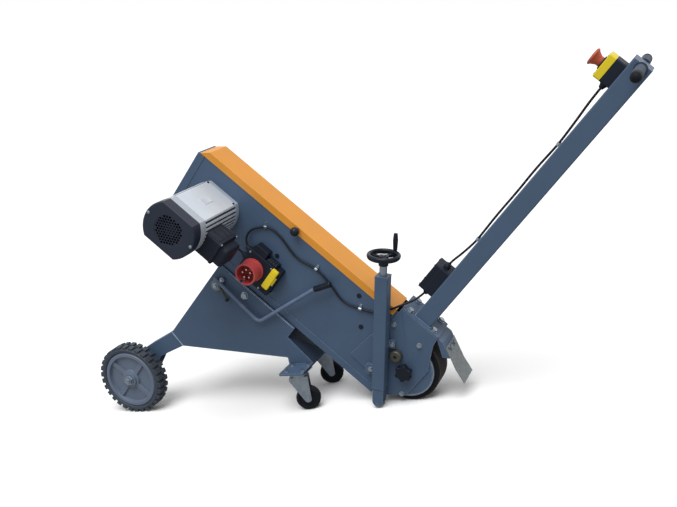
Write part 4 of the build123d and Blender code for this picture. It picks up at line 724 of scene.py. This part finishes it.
for corner in handwheel.data.vertices:
    height = (corner.co - COLUMN_FOOT).dot(UP_COLUMN)
    reach = (corner.co - COLUMN_FOOT - UP_COLUMN * height).length
    if height < RIM_HEIGHT and reach > RIM_REACH:
        corner.co -= UP_COLUMN * min(RIM_HALF, RIM_HEIGHT - height) * RIM_STRETCH
finished("crank_handle", 0.5, black_phenolic)

# Handle arm: rectangular tube welded to a foot plate, with a cross bar for two grey rubber grips that end in
# black knobs
finished("handle_arm", 0.9, blue_grey_coat)
FOOT_SEAM = 152.4
foot_corners = [(26.6, -41.4), (81.4, -41.4), (81.4, 41.4), (26.6, 41.4)]
for index, first in enumerate(foot_corners):
    second = foot_corners[(index + 1) % len(foot_corners)]
    ends = [(u, FOOT_SEAM, y) for u, y in (first, second)]
    foot_weld = weld(f"foot_weld_{index}", *ends, 4.5)
    seat(foot_weld, blue_grey_coat, "frame")

# Grip rubber: dark blue-grey and matt, with a moulded grain
grey_grip = surface(
    "grey_grip_rubber", "#2a374a", 0.6, grain=1.5, relief=0.08, shift=0.08, gloss=0.3
)


def at(u, n, y):
    """Row-frame point from the housing's millimetres."""
    return axle_centre + (UP_BELT * u + OFF_BELT * n + ACROSS * y) / 1000


KNOB_LENGTH = 40
grips = finished("handle_grips", 0.6, grey_grip, black_rubber)
knob_from = max(abs(along(corner)[2]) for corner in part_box("handle_grips")) - KNOB_LENGTH
for side in (-1, 1):
    pick(grips)
    bpy.ops.object.mode_set(mode="EDIT")
    bpy.ops.mesh.select_all(action="SELECT")
    bpy.ops.mesh.bisect(plane_co=at(0, 0, side * knob_from), plane_no=ACROSS)
    bpy.ops.object.mode_set(mode="OBJECT")
smooth(grips)
paint_where(grips, 1, lambda spot: abs(along(spot)[2]) > knob_from)

# Emergency stop: black nylon base and yellow ABS lid, moulded and screwed to the arm's upper face, with a red
# ABS mushroom button that is pushed in to stop the motor
finished("estop_base", 0.6, black_nylon)
finished("estop_lid", 0.8, yellow_abs)
finished("estop_button", 0.8, red_abs)
UP_FROM_ARM = (1, 0, 0)
stop_spots = [(130, n, y) for n in (971, 1022) for y in (-25, 25)]
stop_screws = screws("stop_screws", 3, stop_spots, UP_FROM_ARM)
seat(stop_screws, bright_zinc, "frame")

# Junction box, glands and hole plugs: moulded black nylon. The box is screwed to the arm, and plated steel
# clips hold the cables
finished("junction_box", 0.4, black_nylon)
junction_spots = [(130, n, y) for n in (233, 307) for y in (-24, 24)]
junction_screws = screws("junction_screws", 3, junction_spots, UP_FROM_ARM)
seat(junction_screws, bright_zinc, "frame")
finished("glands_and_plugs", 0.4, black_nylon)
finished("cable_clips", 0.4, bright_zinc)

# Control cables: black PVC hose cable, 6.5 mm, clipped along the panel and the arm between the switch, the
# junction box and the emergency stop, and a short one from the switch to the motor. The PVC is smooth, and
# carries a soft line of light along the cable
black_pvc = surface("black_pvc", "#12161d", 0.5, grain=3, relief=0.03, shift=0.1, gloss=0.25)
CABLE_DIAMETER = 0.0065


def cable(name, route):
    """Smooth cable through control points in housing millimetres."""
    curve = bpy.data.curves.new(name, "CURVE")
    curve.dimensions = "3D"
    curve.bevel_depth = CABLE_DIAMETER / 2
    curve.bevel_resolution = 4
    curve.resolution_u = 8
    curve.use_fill_caps = True
    spline = curve.splines.new("NURBS")
    spline.points.add(len(route) - 1)
    for point, spot in zip(spline.points, route):
        point.co = (*at(*spot), 1)
    spline.order_u = 3
    spline.use_endpoint_u = True
    piece = bpy.data.objects.new(name, curve)
    bpy.context.scene.collection.objects.link(piece)
    curve.materials.append(black_pvc)
    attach(piece, "frame")
    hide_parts("control_cables")


CABLE_Y = -51.95
CLIP_REACH = 14


def clipped(u, n, turn):
    """Two route points either side of a clip on the near panel."""
    step = (CLIP_REACH * math.cos(math.radians(turn)), CLIP_REACH * math.sin(math.radians(turn)))
    return [(u - step[0], n - step[1], CABLE_Y), (u + step[0], n + step[1], CABLE_Y)]


panel_route = [
    (580, -24, -64),
    (607, -18, -64),
    (619, 20, CABLE_Y - 3),
    *clipped(583, 63, 141),
    (530, 72, CABLE_Y),
    (455, 47, CABLE_Y),
    *clipped(388, 64, 175),
    (325, 57, CABLE_Y),
    (270, 37, CABLE_Y),
    *clipped(215, 58, 155),
    (168, 84, CABLE_Y),
    (146, 122, CABLE_Y - 2),
    (125, 166, CABLE_Y - 1.5),
    (106, 188, -20),
    (101, 225, -5),
]
cable("panel_cable", panel_route)
arm_route = [
    (101, 315, -5),
    (101, 339, -5),
    (93, 375, -5),
    (85.95, 426, -5),
    (85.95, 454, -5),
    (88.45, 530, -5),
    (86.95, 610, -5),
    (88.95, 690, -5),
    (85.95, 764, -5),
    (85.95, 792, -5),
    (89.95, 858, -5),
    (95, 918, -5),
    (95, 963, -5),
]
cable("arm_cable", arm_route)
motor_route = [
    (636, -12, -147),
    (640, -7, -119),
    (627, -48, -67),
    (580, -50, -64),
]
cable("motor_cable", motor_route)

# Fasteners: steel hex bolts with washers, cold-formed and zinc-plated. They hold the head, the undercarriage
# and the casters
finished("frame_bolts", 0.35, bright_zinc)

# Floor, light and camera: white paper floor, one broad soft lamp from above on the camera's right, white
# surroundings, and the view of the photograph
bpy.ops.object.select_all(action="DESELECT")
bpy.ops.mesh.primitive_plane_add(size=40)
floor = bpy.context.object
floor.name = "floor"

# Paper: matt white to the camera, and greyer to all other rays, so that the coat mirrors no bright floor
white_paper = bpy.data.materials.new("white_paper")
white_paper.use_nodes = True
rays = add(white_paper, "ShaderNodeLightPath", {})
paper = add(
    white_paper,
    "ShaderNodeMix",
    {0: rays.outputs["Is Camera Ray"], 6: linear("#a8a8a8"), 7: linear("#ffffff")},
    data_type="RGBA",
)
paper_shader = white_paper.node_tree.nodes["Principled BSDF"]
white_paper.node_tree.links.new(paper.outputs[2], paper_shader.inputs["Base Color"])
paper_shader.inputs["Roughness"].default_value = 1.0
paper_shader.inputs["Specular IOR Level"].default_value = 0.0
floor.data.materials.append(white_paper)

# The surroundings are full white where they are seen or mirrored, and weaker as a light
FILL_LEVEL = 0.46
SEEN_LEVEL = 1.0
world = bpy.data.worlds.new("white_studio")
bpy.context.scene.world = world
world.use_nodes = True
sky = world.node_tree.nodes["Background"]
sky.inputs["Color"].default_value = (1, 1, 1, 1)
light_path = add(world, "ShaderNodeLightPath", {})
direct = add(
    world,
    "ShaderNodeMath",
    {0: light_path.outputs["Is Camera Ray"], 1: light_path.outputs["Is Glossy Ray"]},
    operation="ADD",
    use_clamp=True,
)
level = add(
    world,
    "ShaderNodeMapRange",
    {"Value": direct.outputs[0], "To Min": FILL_LEVEL, "To Max": SEEN_LEVEL},
)
world.node_tree.links.new(level.outputs["Result"], sky.inputs["Strength"])

LAMP_AIM = Vector((-0.12, 0.4, -0.9))
sun_data = bpy.data.lights.new("soft_key", "SUN")
sun_data.energy = 2.6
sun_data.angle = math.radians(45)
sun = bpy.data.objects.new("soft_key", sun_data)
sun.rotation_euler = LAMP_AIM.to_track_quat("-Z", "Y").to_euler()
bpy.context.scene.collection.objects.link(sun)

CAMERA_FROM_AXLE = Vector((0.8971, -2.1982, 0.9737))
CAMERA_AIM = Vector((-0.4203, 0.8734, -0.2460))
CAMERA_UP = Vector((0.0788, 0.3053, 0.9490))
camera_data = bpy.data.cameras.new("photo_view")
camera_data.sensor_width = 36
camera_data.lens = 45.5
camera_data.clip_end = 60
camera = bpy.data.objects.new("photo_view", camera_data)
bpy.context.scene.collection.objects.link(camera)
forward = CAMERA_AIM.normalized()
upward = (CAMERA_UP - forward * CAMERA_UP.dot(forward)).normalized()
turn = Matrix((forward.cross(upward), upward, -forward)).transposed()
camera.matrix_world = Matrix.Translation(axle_centre + CAMERA_FROM_AXLE) @ turn.to_4x4()
bpy.context.scene.camera = camera
bpy.context.scene.view_settings.view_transform = "Standard"
